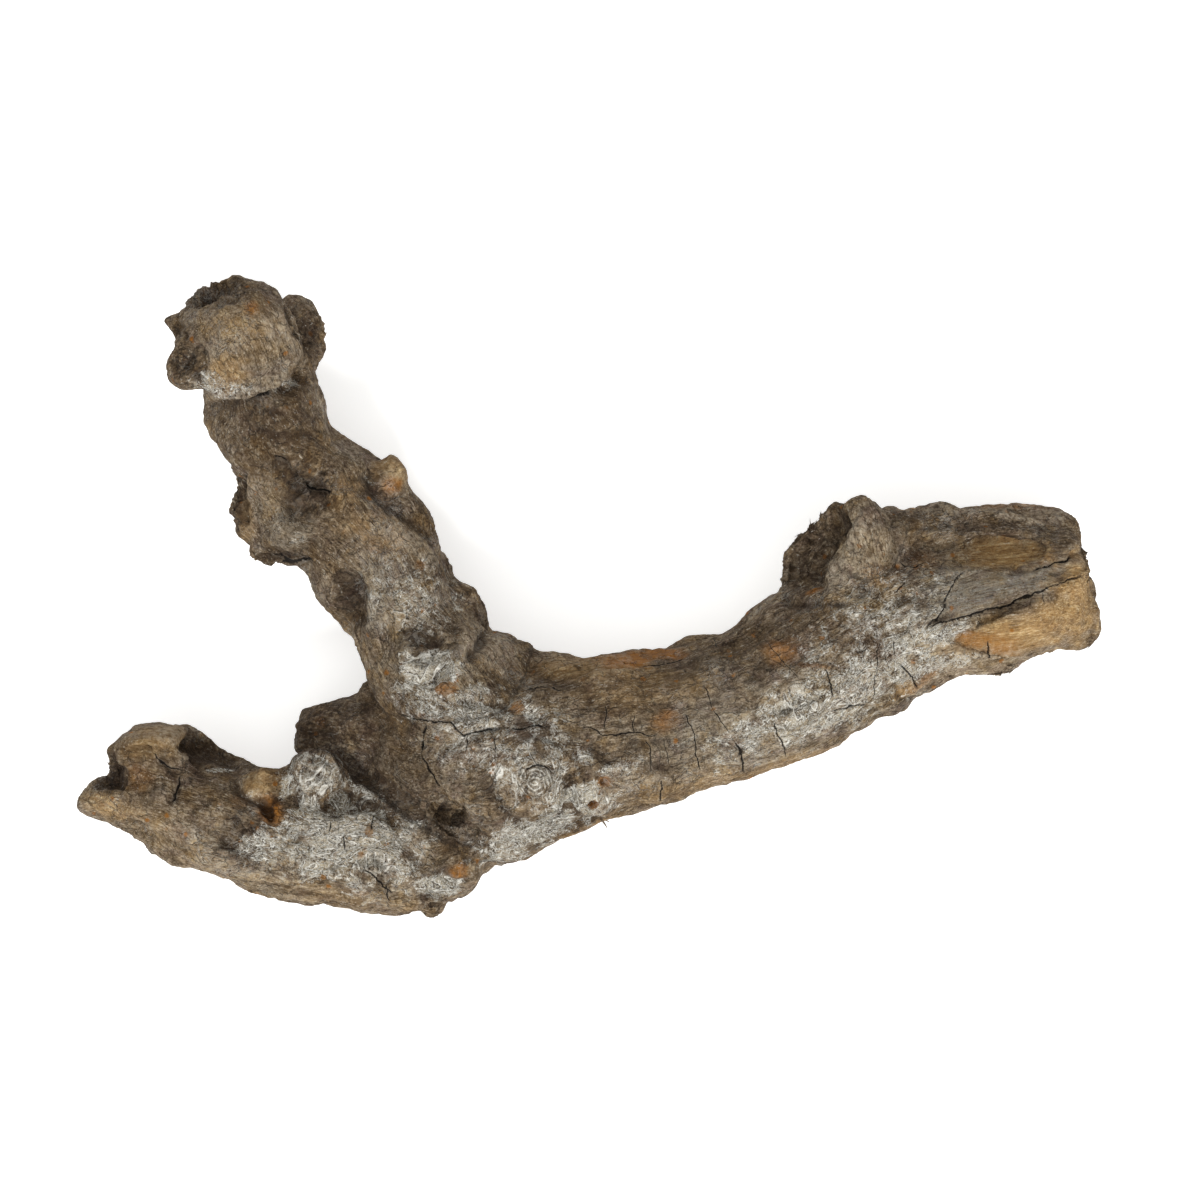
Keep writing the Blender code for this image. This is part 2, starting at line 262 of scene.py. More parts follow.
# %% Grab brush
# Each nudge: pixel, radius in pixels, pull to the right, up the picture and towards the eye in mm.
NUDGES = (
    (235, 280, 38, 0.0, 1.6, 0.0), (190, 394, 24, -0.6, -5.0, 0.0), (168, 345, 16, -2.0, 0.0, 0.0),
    (163, 320, 10, -2.6, 0.4, 0.0), (295, 294, 20, 0.0, 2.4, 0.0), (325, 348, 22, 1.8, 0.0, 0.0),
    (214, 430, 34, -2.6, -0.4, 0.0), (340, 436, 24, -2.4, -1.8, 0.0), (252, 560, 14, -2.6, -1.6, 0.0),
    (305, 575, 20, 0.6, 2.0, 0.0), (325, 612, 28, -3.6, 0.0, 0.0), (425, 512, 38, 3.6, 1.0, 0.0),
    (456, 572, 18, -2.6, -0.6, 0.0), (388, 456, 12, 0.6, 2.6, 0.0), (505, 632, 20, 0.0, -1.2, 0.0),
    (545, 650, 26, 0.0, 2.8, 0.0), (690, 636, 30, 0.0, -1.2, 0.0), (738, 620, 20, 0.6, -1.4, 0.0),
    (808, 528, 34, 1.6, -1.2, 0.0), (780, 575, 18, 2.2, 0.0, 0.0), (860, 494, 16, 0.0, 4.0, 0.0),
    (886, 507, 14, 0.0, 2.8, 0.0), (955, 508, 34, 0.0, 1.2, 0.0), (1066, 514, 26, 1.6, 2.4, 0.0),
    (1094, 602, 40, 4.4, 0.0, 0.0), (1084, 646, 18, 2.0, -2.0, 0.0), (985, 670, 36, 0.0, -4.4, 0.0),
    (938, 686, 20, 0.6, -1.8, 0.0), (900, 708, 18, 0.6, -2.4, 0.0), (830, 754, 24, 0.0, -1.4, 0.0),
    (762, 778, 34, 0.0, 2.2, 0.0), (522, 858, 30, 0.6, -3.4, 0.0), (490, 866, 12, 0.0, 1.8, 0.0),
    (460, 892, 22, 2.2, -3.2, 0.0), (404, 911, 26, 0.0, -2.6, 0.0), (280, 897, 44, 0.0, -1.6, 0.0),
    (160, 852, 34, -0.6, -1.6, 0.0), (99, 771, 18, -3.8, 0.0, 0.0), (106, 745, 16, -2.8, 1.2, 0.0),
    (150, 724, 24, 0.0, -1.2, 0.0), (270, 760, 30, 0.0, -2.4, 0.0), (298, 715, 18, 2.0, -1.0, 0.0),
    (80, 806, 12, -1.6, -0.6, 0.0), (650, 795, 60, 0.0, -0.4, 0.0),
)
moved = points.copy()
for px, py, radius, right, up, near in NUDGES:
    away = np.linalg.norm(points - spot(px, py), axis=1) / (radius * 1.5 * PX)
    hold = ramp(away, 1.0, 0.0)[:, None]
    moved += hold * np.array((right, up, near)) * MM * np.clip(points[:, 2:] / (6 * MM), 0, 1)
points, seen_x, seen_y, facing_up, skin = reshape(moved)
print("nudges:", len(NUDGES))

# %% [markdown]
# ## Panels
# Where wood splits along its grain it leaves flat, crisp-edged panels, such as the grey shelf and
# the tan block at the broken end. Each panel is drawn as an outline over the photograph. Inside
# it the lumps are planed to a gently curved face, and the face is then raised or sunk.

# %% Split panels
# Each panel: its outline in pixels, rise in mm, width of its edge in mm.
PANELS = {
    "grey_shelf": (
        ((966, 572), (1002, 569), (1040, 563), (1086, 541), (1090, 571), (1066, 580), (1028, 596),
         (990, 609), (952, 618), (928, 627), (941, 614), (949, 597), (958, 577)), 0.4, 1.2,
    ),
    "trough_floor": (
        ((966, 543), (978, 540), (1010, 539), (1038, 541), (1048, 551), (1042, 561), (1010, 567),
         (967, 569)), -1.6, 1.0,
    ),
    "tan_block": (
        ((1094, 575), (1100, 600), (1098, 630), (1090, 648), (1072, 653), (1055, 648), (1040, 655),
         (1000, 658), (968, 652), (948, 640), (985, 622), (1028, 602), (1062, 588)), 1.2, 1.4,
    ),
    "under_strip": (
        ((938, 666), (960, 658), (1000, 661), (1036, 658), (1034, 666), (1008, 668), (1002, 676),
         (950, 678)), -1.2, 1.0,
    ),
    "scar_floor": (
        ((841, 503), (820, 514), (794, 545), (784, 570), (783, 592), (800, 596), (818, 585),
         (828, 562), (838, 540), (846, 522)), -5.5, 4.0,
    ),
    "ear_face": (
        ((108, 748), (120, 734), (150, 725), (182, 722), (192, 733), (186, 744), (172, 752),
         (150, 749)), 0.3, 1.6,
    ),
}


def outline_gap(outline):
    """Distance to an outline of pixels in mm, positive inside it."""
    nearest = np.full(len(points), np.inf)
    inside = np.zeros(len(points), bool)
    for (ax, ay), (bx, by) in zip(outline, outline[1:] + outline[:1]):
        dx, dy = bx - ax, by - ay
        t = np.clip(((seen_x - ax) * dx + (seen_y - ay) * dy) / (dx * dx + dy * dy), 0, 1)
        nearest = np.minimum(nearest, np.hypot(seen_x - ax - t * dx, seen_y - ay - t * dy))
        crosses = (ay > seen_y) != (by > seen_y)
        if dy:
            inside ^= crosses & (seen_x < ax + (seen_y - ay) * dx / dy)
    return np.where(inside, nearest, -nearest) * PX / MM


wobble = lumps(3 * MM, 3)
moved = points.copy()
planed = np.zeros(len(points))
for outline, rise, edge in PANELS.values():
    gap = outline_gap(outline) + 0.5 * wobble
    share = ramp(gap, 0, edge) * (facing_up > 0.5)
    chosen = share > 0.5
    x, y = (points[:, :2] - points[chosen, :2].mean(0)).T * 10
    terms = np.stack([np.ones(len(x)), x, y, x * x, x * y, y * y], 1)
    fit = np.linalg.lstsq(terms[chosen], points[chosen, 2], rcond=None)[0]
    level = np.clip(terms @ fit - points[:, 2], -4 * MM, 4 * MM)
    moved[:, 2] += share * (0.8 * level + rise * MM)
    planed = np.maximum(planed, share)
points, seen_x, seen_y, facing_up, skin = reshape(moved)
keep("planed", planed)
ragged = lumps(5 * MM, 1)
drifting = lumps(14 * MM, 2)
print("panels:", list(PANELS))

# %% [markdown]
# ## Grain
# Fibres run along each limb, bend with it and part round knots like water round a stone. To
# follow them, each point gets grain coordinates: how far it lies along its limb, then sideways
# and up from the limb's centre line. A pattern that is stretched along the first of these becomes
# fibre. Near a knot the sideways parts are pressed in, which makes the fibres flow round it.

# %% Grain coordinates
# Centre lines of the limbs in millimetres, with the limb's radius.
LIMBS = {
    "trunk": (
        (217, 8, 38, 28), (190, 8, 38, 34), (163, 4.5, 38, 37), (139, -4, 39, 37), (116, -18.5, 39, 36),
        (94, -33, 39, 36), (68, -45, 39, 33), (37, -53, 41, 34), (6, -59, 43, 37), (-21, -67, 44, 40),
        (-48, -74, 43, 39), (-72, -73, 39, 29), (-97, -64, 31, 18), (-128, -60, 25, 13),
    ),
    "branch": (
        (-45, -52, 47, 30), (-75, -17, 43, 26), (-90, 12, 36, 28.5), (-106, 37, 33, 31.5),
        (-127, 56, 38, 27), (-139.5, 78, 51, 26), (-147, 100, 72, 26), (-155, 120, 88, 22),
    ),
    "limb": (
        (-40, -97, 39, 15), (-56, -114, 38, 13.5), (-72, -114, 40, 22), (-92, -109.5, 42, 28.5),
        (-118, -105.5, 43, 29), (-146, -99, 43, 28), (-171, -93.5, 43, 25.5), (-191, -88, 43, 20),
        (-226, -86, 42, 6),
    ),
    "spur": ((126, -8, 46, 19), (126, 16, 57, 14), (122, 35, 62, 9), (118, 49, 63, 5)),
}
LIMB_APART = 700 * MM  # starts each limb's grain far from the last one's, so that none repeats
# Knots that the grain flows round: pixel in the photograph and radius in pixels.
KNOTS = {
    "swirl_knot": (537, 783, 40),
    "pin_knot": (590, 800, 26),
    "collar_knot": (420, 648, 34),
    "limb_knob": (314, 777, 32),
    "elbow_knob": (469, 599, 22),
    "tan_knob": (262, 779, 24),
    "curl_knot": (374, 874, 22),
    "wound": (309, 485, 34),
    "branch_scar": (346, 594, 18),
    "branch_nub": (390, 475, 24),
    "trunk_nub": (907, 690, 16),
    "orange_nub": (459, 872, 16),
    "trunk_pits": (795, 708, 22),
    "head_stub": (186, 365, 26),
}


def smooth_path(stations, steps=5):
    """A smooth curve through the stations, steps points to a span."""
    s = np.array(stations, float)
    s = np.vstack([2 * s[0] - s[1], s, 2 * s[-1] - s[-2]])
    path = []
    for i in range(1, len(s) - 2):
        for t in np.linspace(0, 1, steps, endpoint=False):
            path.append(0.5 * (
                2 * s[i] + (s[i + 1] - s[i - 1]) * t
                + (2 * s[i - 1] - 5 * s[i] + 4 * s[i + 1] - s[i + 2]) * t**2
                + (3 * s[i] - s[i - 1] - 3 * s[i + 1] + s[i + 2]) * t**3
            ))
    path.append(s[-2])
    return np.array(path) * MM


def grain_of(places):
    """Grain coordinates of places, and the direction of the grain there."""
    nearest = np.full(len(places), np.inf)
    grain = np.zeros((len(places), 3))
    course = np.zeros((len(places), 3))
    for number, stations in enumerate(LIMBS.values()):
        path = smooth_path(stations)
        run = number * LIMB_APART
        for a, b in zip(path[:-1], path[1:]):
            length = np.linalg.norm(b[:3] - a[:3])
            along = (b[:3] - a[:3]) / length
            side = np.cross(along, (0, 0, 1))
            side /= np.linalg.norm(side)
            up = np.cross(side, along)
            offset = places - a[:3]
            t = np.clip(offset @ along, 0, length)
            radius = a[3] + (b[3] - a[3]) * t / length
            gap = np.linalg.norm(offset - t[:, None] * along, axis=1) - radius
            near = gap < nearest
            nearest[near] = gap[near]
            grain[near] = np.stack([run + offset @ along, offset @ side, offset @ up], 1)[near]
            course[near] = along
            run += length
    return grain, course


grain, course = grain_of(points)
knot_gap = np.full(len(points), 1.0)
for px, py, radius in KNOTS.values():
    centre = spot(px, py)
    reach = radius * PX
    away = np.linalg.norm(points - centre, axis=1)
    squeeze = np.sqrt(np.clip(1 - (reach / np.maximum(away, reach * 1.02)) ** 3, 0.05, 1))
    middle = grain_of(centre[None])[0][0]
    same_limb = np.abs(grain[:, 0] - middle[0]) < 3 * reach
    bend = np.where(same_limb & (away < 3 * reach), squeeze, 1)[:, None]
    grain[:, 1:] = middle[1:] + (grain[:, 1:] - middle[1:]) * bend
    knot_gap = np.minimum(knot_gap, away / reach)
keep("grain", grain, "FLOAT_VECTOR", "vector")
keep("course", course, "FLOAT_VECTOR", "vector")
print("grain runs along", len(LIMBS), "limbs and parts round", len(KNOTS), "knots")

# %% [markdown]
# ## Stains, bare places and painted shade
# Weathered wood is a patchwork: pale salt and lichen crust on the knots, tan wood where the bark
# came off last, rust-coloured sapwood, brown bark and dark rot. The brown and dark patches are
# also painted shade where the wood lies in shadow: on upper sides, in crevices, behind knobs.
# Each patch is a soft oval with a ragged rim. The shader turns these amounts into colours later.

# %% Patches
# Each patch: pixel of its middle, half width and half height in pixels, turn in degrees, amount.
PATCHES = {
    "crust": (
        (345, 845, 78, 42, -6, 0.75), (316, 777, 34, 30, 0, 0.6), (428, 668, 30, 18, 10, 0.95),
        (455, 704, 76, 20, -6, 0.5), (538, 786, 44, 38, 0, 0.4), (588, 802, 28, 24, 0, 0.9),
        (525, 840, 62, 20, 20, 0.75), (438, 889, 24, 11, 0, 1.0), (412, 600, 50, 40, -30, 0.4),
        (830, 702, 95, 34, 22, 0.55), (735, 738, 60, 26, 22, 0.3), (945, 634, 34, 12, 20, 0.65),
        (890, 600, 60, 42, 0, 0.35), (225, 388, 34, 10, 0, 0.4), (287, 384, 15, 8, 20, 0.4),
        (288, 530, 28, 18, -30, 0.2), (220, 769, 18, 3, 5, 0.7), (480, 745, 66, 36, -10, 0.4),
        (560, 740, 30, 50, 0, 0.25), (255, 850, 26, 14, 0, 0.5), (940, 665, 60, 12, 12, 0.5),
        (208, 380, 14, 12, 0, 0.5), (625, 765, 26, 12, 20, 0.4), (860, 640, 60, 26, 10, 0.35),
    ),
    "ash": (
        (1000, 588, 92, 14, 17, 1.0), (950, 590, 34, 28, 0, 0.6), (700, 710, 70, 36, 30, 0.35),
        (285, 528, 30, 20, -30, 0.3), (395, 600, 40, 50, -25, 0.2),
    ),
    "bare": (
        (1078, 602, 26, 40, 0, 1.0), (1030, 630, 62, 20, 14, 0.9), (975, 645, 44, 14, 10, 0.4),
        (985, 667, 56, 12, 6, 0.15), (1008, 554, 44, 14, 2, 1.0), (640, 694, 60, 18, 6, 0.3),
        (585, 668, 60, 12, 2, 0.45),
        (165, 838, 92, 18, -30, 0.25), (310, 892, 110, 11, -10, 0.3), (108, 806, 30, 12, -20, 0.6),
        (262, 780, 22, 15, 5, 0.55), (158, 742, 34, 15, 20, 0.5), (226, 376, 18, 18, 0, 0.6),
        (246, 325, 40, 26, 0, 0.25), (390, 468, 17, 18, 0, 0.45), (246, 520, 11, 26, 0, 0.45),
        (380, 532, 34, 18, -20, 0.35), (690, 786, 66, 10, 16, 0.3), (906, 692, 15, 12, 20, 0.7),
        (345, 490, 16, 22, -30, 0.4), (870, 560, 20, 40, 0, 0.2), (590, 838, 40, 8, 24, 0.4),
        (790, 765, 60, 8, 16, 0.4),
    ),
    "pale": (
        (840, 700, 112, 40, 20, 0.8), (868, 560, 30, 54, 0, 0.65), (720, 735, 90, 36, 25, 0.4),
        (250, 882, 120, 14, -8, 0.75), (940, 645, 60, 24, 15, 0.5), (900, 600, 70, 40, 0, 0.35),
        (400, 590, 40, 50, -30, 0.2), (1078, 606, 26, 42, 0, 0.25), (240, 345, 50, 44, 0, 0.2),
        (560, 720, 60, 30, 0, 0.25), (345, 845, 84, 36, -6, 0.75), (430, 672, 50, 34, 0, 0.65),
        (470, 760, 50, 34, 0, 0.3), (160, 840, 90, 26, -28, 0.4), (985, 667, 54, 12, 4, 0.9),
    ),
    "rust": (
        (625, 661, 28, 9, 3, 1.0), (664, 653, 24, 8, -8, 0.9), (665, 722, 14, 10, 20, 0.5),
        (780, 652, 17, 13, 0, 0.6), (252, 308, 7, 7, 0, 0.7), (270, 809, 12, 16, 30, 1.0),
        (459, 872, 10, 8, 20, 0.9), (392, 486, 10, 9, 0, 1.0), (446, 689, 12, 7, 0, 0.75),
        (516, 707, 9, 7, 0, 0.6), (369, 832, 5, 7, 0, 0.7), (420, 565, 5, 5, 0, 0.5),
        (814, 590, 11, 3, 30, 1.0), (985, 642, 34, 10, -10, 0.6), (320, 722, 6, 6, 0, 0.4),
        (925, 680, 20, 5, 40, 0.4), (1015, 508, 46, 5, 0, 0.35), (925, 558, 16, 10, 0, 0.3),
        (880, 575, 22, 12, 0, 0.25), (323, 878, 4, 4, 0, 0.7), (361, 855, 4, 5, 0, 0.6),
        (140, 778, 14, 12, 0, 0.3), (592, 803, 8, 7, 0, 0.9), (605, 782, 8, 6, 0, 0.8),
        (812, 665, 20, 3, -10, 0.4), (240, 800, 10, 10, 0, 0.2),
    ),
    # Rot marks rotten places, and also painted shade in shadowed ones: behind the back knob, in the fork
    # crevice, in the groove under the swirl knot and under the rim of the broken end.
    "rot_and_shade": (
        (216, 290, 34, 11, 10, 0.75), (186, 364, 14, 19, 0, 0.6), (306, 487, 28, 20, -20, 0.8),
        (234, 502, 6, 28, 0, 0.6), (347, 596, 11, 30, 22, 0.45), (322, 728, 60, 36, 0, 0.8),
        (440, 812, 34, 20, -40, 0.35), (472, 818, 22, 14, -30, 0.35), (226, 750, 38, 10, -28, 0.4),
        (106, 777, 14, 12, 0, 0.85), (246, 830, 24, 18, 0, 0.55), (434, 904, 15, 9, -10, 0.85),
        (820, 540, 17, 40, -28, 0.6), (802, 578, 18, 22, -10, 0.45), (985, 530, 66, 6, 0, 0.4),
        (793, 708, 20, 6, 15, 0.8),
        (546, 822, 30, 6, 10, 0.6), (598, 757, 20, 13, -20, 0.6), (420, 644, 14, 14, 0, 0.35),
        (480, 842, 12, 16, 0, 0.5), (262, 425, 24, 5, 14, 0.4), (288, 560, 24, 5, -10, 0.4),
        (372, 690, 10, 10, 0, 0.7), (310, 330, 6, 30, -14, 0.3), (800, 596, 20, 12, 0, 0.5),
        (880, 508, 26, 6, 0, 0.5), (396, 497, 18, 14, -40, 0.5), (578, 800, 4, 18, 10, 0.5),
        (900, 700, 6, 10, 0, 0.3), (1058, 540, 26, 16, 0, 0.3),
    ),
    # Umber marks brown bark, and also painted shade on upper sides and in shadowed places.
    "umber_and_shade": (
        (630, 674, 130, 20, 4, 0.75), (720, 672, 60, 26, 30, 0.35), (268, 440, 62, 46, 0, 1.0),
        (322, 728, 54, 34, 0, 0.8), (290, 560, 40, 16, 0, 0.4),
        (170, 775, 76, 40, -16, 0.5), (342, 722, 56, 34, 10, 1.0), (392, 758, 50, 46, -30, 0.7),
        (900, 525, 50, 14, 0, 0.6), (1060, 530, 26, 26, 0, 0.5), (300, 400, 22, 50, -10, 0.7),
        (420, 520, 24, 40, -30, 0.5), (820, 620, 40, 20, 10, 0.5), (560, 680, 60, 20, -10, 0.3),
        (455, 845, 22, 20, -30, 0.8), (220, 300, 50, 18, 0, 0.5), (470, 600, 22, 24, 0, 0.4),
        (980, 642, 40, 15, -8, 0.6),
    ),
}


def oval(px, py, wide, tall, turn):
    """Distance from a mark's middle, where 1 is its rim."""
    offset = (points - spot(px, py)) / PX
    cosine = math.cos(math.radians(turn))
    sine = math.sin(math.radians(turn))
    u = (offset[:, 0] * cosine + offset[:, 1] * sine) / wide
    v = (offset[:, 1] * cosine - offset[:, 0] * sine) / tall
    w = offset[:, 2] / (1.5 * max(wide, tall))
    return np.sqrt(u * u + v * v + w * w)


for stain, marks in PATCHES.items():
    clear = np.ones(len(points))
    for *place, amount in marks:
        loose = min(1.0, min(place[2:4]) / 22)  # small marks keep a firm rim
        rim = oval(*place) + loose * (0.38 * ragged + 0.18 * wobble + 0.2 * drifting)
        clear *= 1 - amount * ramp(rim, 1.15 + 0.4 * loose, 0.65 - 0.3 * loose)
    keep(stain, 1 - clear)
    print(stain, "covers a share of", round(float((1 - clear).mean()), 3))

# %% [markdown]
# ## Carving
# Knots, insect holes, crumbled stubs and drying cracks are too particular for noise alone, so
# they are carved where the photograph shows them. Every carving tool here answers one question
# for all points at once: how far does it lower or raise the wood?

# %% Knots, holes and crumbled faces
# Rings of a knot: pixel, radius and ring spacing in pixels, ring height and dome in mm, and how
# clearly its rings show in colour.
RINGS = {
    "swirl_knot": (535, 781, 20, 6.0, 0.45, 1.4, 1.0),
    "collar_knot": (420, 646, 26, 9.0, 0.5, -1.6, 0.3),
    "limb_knob": (316, 776, 33, 13.0, 0.4, 3.2, 0.2),
    "pin_knot": (590, 800, 22, 14.0, 0.2, 2.2, 0.0),
    "curl_knot": (374, 874, 22, 8.5, 0.5, 0.6, 0.5),
    "stub_ring": (336, 738, 9, 5.5, 0.3, -0.4, 0.15),
    "neck_ripple": (300, 470, 60, 17.0, 0.3, 0.0, 0.0),
}
# Holes: pixel, half width and half height in pixels, turn in degrees, depth in mm.
HOLES = {
    "bore_hole": (267, 810, 5.0, 10.0, 32, 6.0),
    "pin_hole": (592, 803, 4.5, 4.0, 0, 3.5),
    "red_hole": (605, 782, 4.6, 3.6, 0, 2.4),
    "limb_hole": (333, 867, 5.0, 4.0, 0, 2.6),
    "trunk_pit": (786, 710, 7.0, 3.5, 10, 2.2),
    "trunk_slot": (807, 704, 9.0, 3.0, 20, 2.0),
    "stub_pit": (186, 362, 6.0, 8.0, 0, 3.0),
    "stub_slot": (194, 382, 4.0, 7.0, 0, 2.4),
    "head_pit": (208, 302, 6.0, 6.0, 0, 2.2),
    "cut_face": (434, 905, 11.0, 6.0, -10, 2.4),
    "eye_of_collar": (414, 640, 7.0, 6.0, 0, 1.6),
    "small_pit": (523, 776, 4.0, 4.0, 0, 1.0),
    "ear_pit": (120, 770, 8.0, 5.0, 0, 2.0),
    "wound_pit": (309, 485, 15.0, 7.0, -20, 1.8),
    "wound_slot": (296, 478, 5.0, 9.0, 30, 1.6),
}
# Crumbled places, with high rough relief: pixel, half width and height, turn, amount.
CRUMBLED = (
    (186, 365, 19, 24, 0, 1.0), (215, 292, 32, 12, 12, 0.8), (306, 486, 28, 20, -20, 1.0),
    (347, 596, 13, 30, 22, 0.9), (445, 815, 38, 26, -40, 0.7), (480, 845, 14, 20, 0, 0.8),
    (105, 777, 15, 14, 0, 1.0), (434, 903, 16, 10, -10, 0.7), (374, 874, 24, 16, 0, 0.6),
    (795, 708, 26, 10, 15, 0.6), (234, 500, 8, 30, 0, 0.8), (262, 560, 22, 8, -15, 0.7),
    (800, 560, 20, 44, -30, 0.7), (250, 830, 24, 20, 0, 0.6), (900, 575, 50, 30, 0, 0.35),
    (312, 330, 12, 30, -10, 0.6), (870, 545, 20, 50, 0, 0.3), (420, 645, 20, 16, 0, 0.5),
    (960, 515, 60, 8, 0, 0.5), (470, 700, 60, 20, 0, 0.3), (540, 790, 60, 50, 0, 0.3),
)

carving = np.zeros(len(points))
ring_place = np.zeros(len(points))
ring_gap = np.zeros(len(points))
for px, py, radius, spacing, rise, dome, clear_share in RINGS.values():
    offset = points - spot(px, py)
    away = np.linalg.norm(offset, axis=1) / PX
    # A ring that drifts outwards as it goes round looks grown, where a true circle looks turned.
    turn = np.arctan2(offset[:, 1], offset[:, 0])
    wander = away * (1 + 0.1 * np.sin(2 * turn + px)) + spacing * turn / (2 * math.pi) + 2.6 * drifting
    within = ramp(away, radius * 1.15, radius * 0.7)
    broken = np.clip(0.6 + 0.9 * ragged, 0, 1.3)
    carving += rise * np.cos(wander / spacing * 2 * math.pi) * within * broken * facing_up
    carving += dome * ramp(away, radius, 0) * facing_up
    drawn = within * clear_share
    ring_gap = np.where(drawn > ring_place, wander * PX / MM, ring_gap)
    ring_place = np.maximum(ring_place, drawn)
keep("ring_gap", ring_gap)
for px, py, wide, tall, turn, deep in HOLES.values():
    carving -= deep * ramp(oval(px, py, wide, tall, turn) + 0.2 * wobble, 1.35, 0.6)
crumble = np.zeros(len(points))
for *place, amount in CRUMBLED:
    crumble = np.maximum(crumble, amount * ramp(oval(*place) + 0.3 * ragged, 1.25, 0.7))
keep("crumble", crumble)
keep("ring", ring_place)
# Torn places, where loose fibres lie on the wood: pixel, half width and height, turn, amount.
TORN = (
    (818, 545, 24, 46, -30, 1.0), (1094, 612, 8, 44, 0, 0.8), (1045, 655, 46, 5, 0, 0.8),
    (990, 668, 46, 8, 0, 0.6), (216, 291, 34, 12, 12, 0.4), (184, 365, 18, 26, 0, 0.5),
    (262, 560, 22, 9, 0, 0.6), (236, 502, 8, 30, 0, 0.4), (106, 777, 15, 14, 0, 0.4),
    (434, 903, 16, 10, 0, 0.4), (1008, 540, 44, 4, 0, 0.6), (308, 486, 28, 20, -20, 0.5),
    (348, 597, 12, 32, 22, 0.6), (316, 330, 10, 30, -14, 0.4), (374, 876, 22, 18, 0, 0.5),
    (945, 600, 10, 34, 30, 0.4), (1010, 606, 80, 5, 18, 0.5),
)
torn = np.zeros(len(points))
for *place, amount in TORN:
    torn = np.maximum(torn, amount * ramp(oval(*place) + 0.3 * ragged, 1.2, 0.7))
keep("torn", torn)
print("knots", len(RINGS), "holes", len(HOLES), "crumbled places", len(CRUMBLED), "torn places", len(TORN))

# %% [markdown]
# ## Folds and ledges
# Between the knots the wood is folded and torn: creases where a limb meets the trunk, ledges where
# a layer broke off. A fold is a line over the photograph with a width, the depth of its groove and
# a step, which lifts what lies to its left and sinks what lies to its right. A row of such lines
# does what a sculptor does with a crease brush.

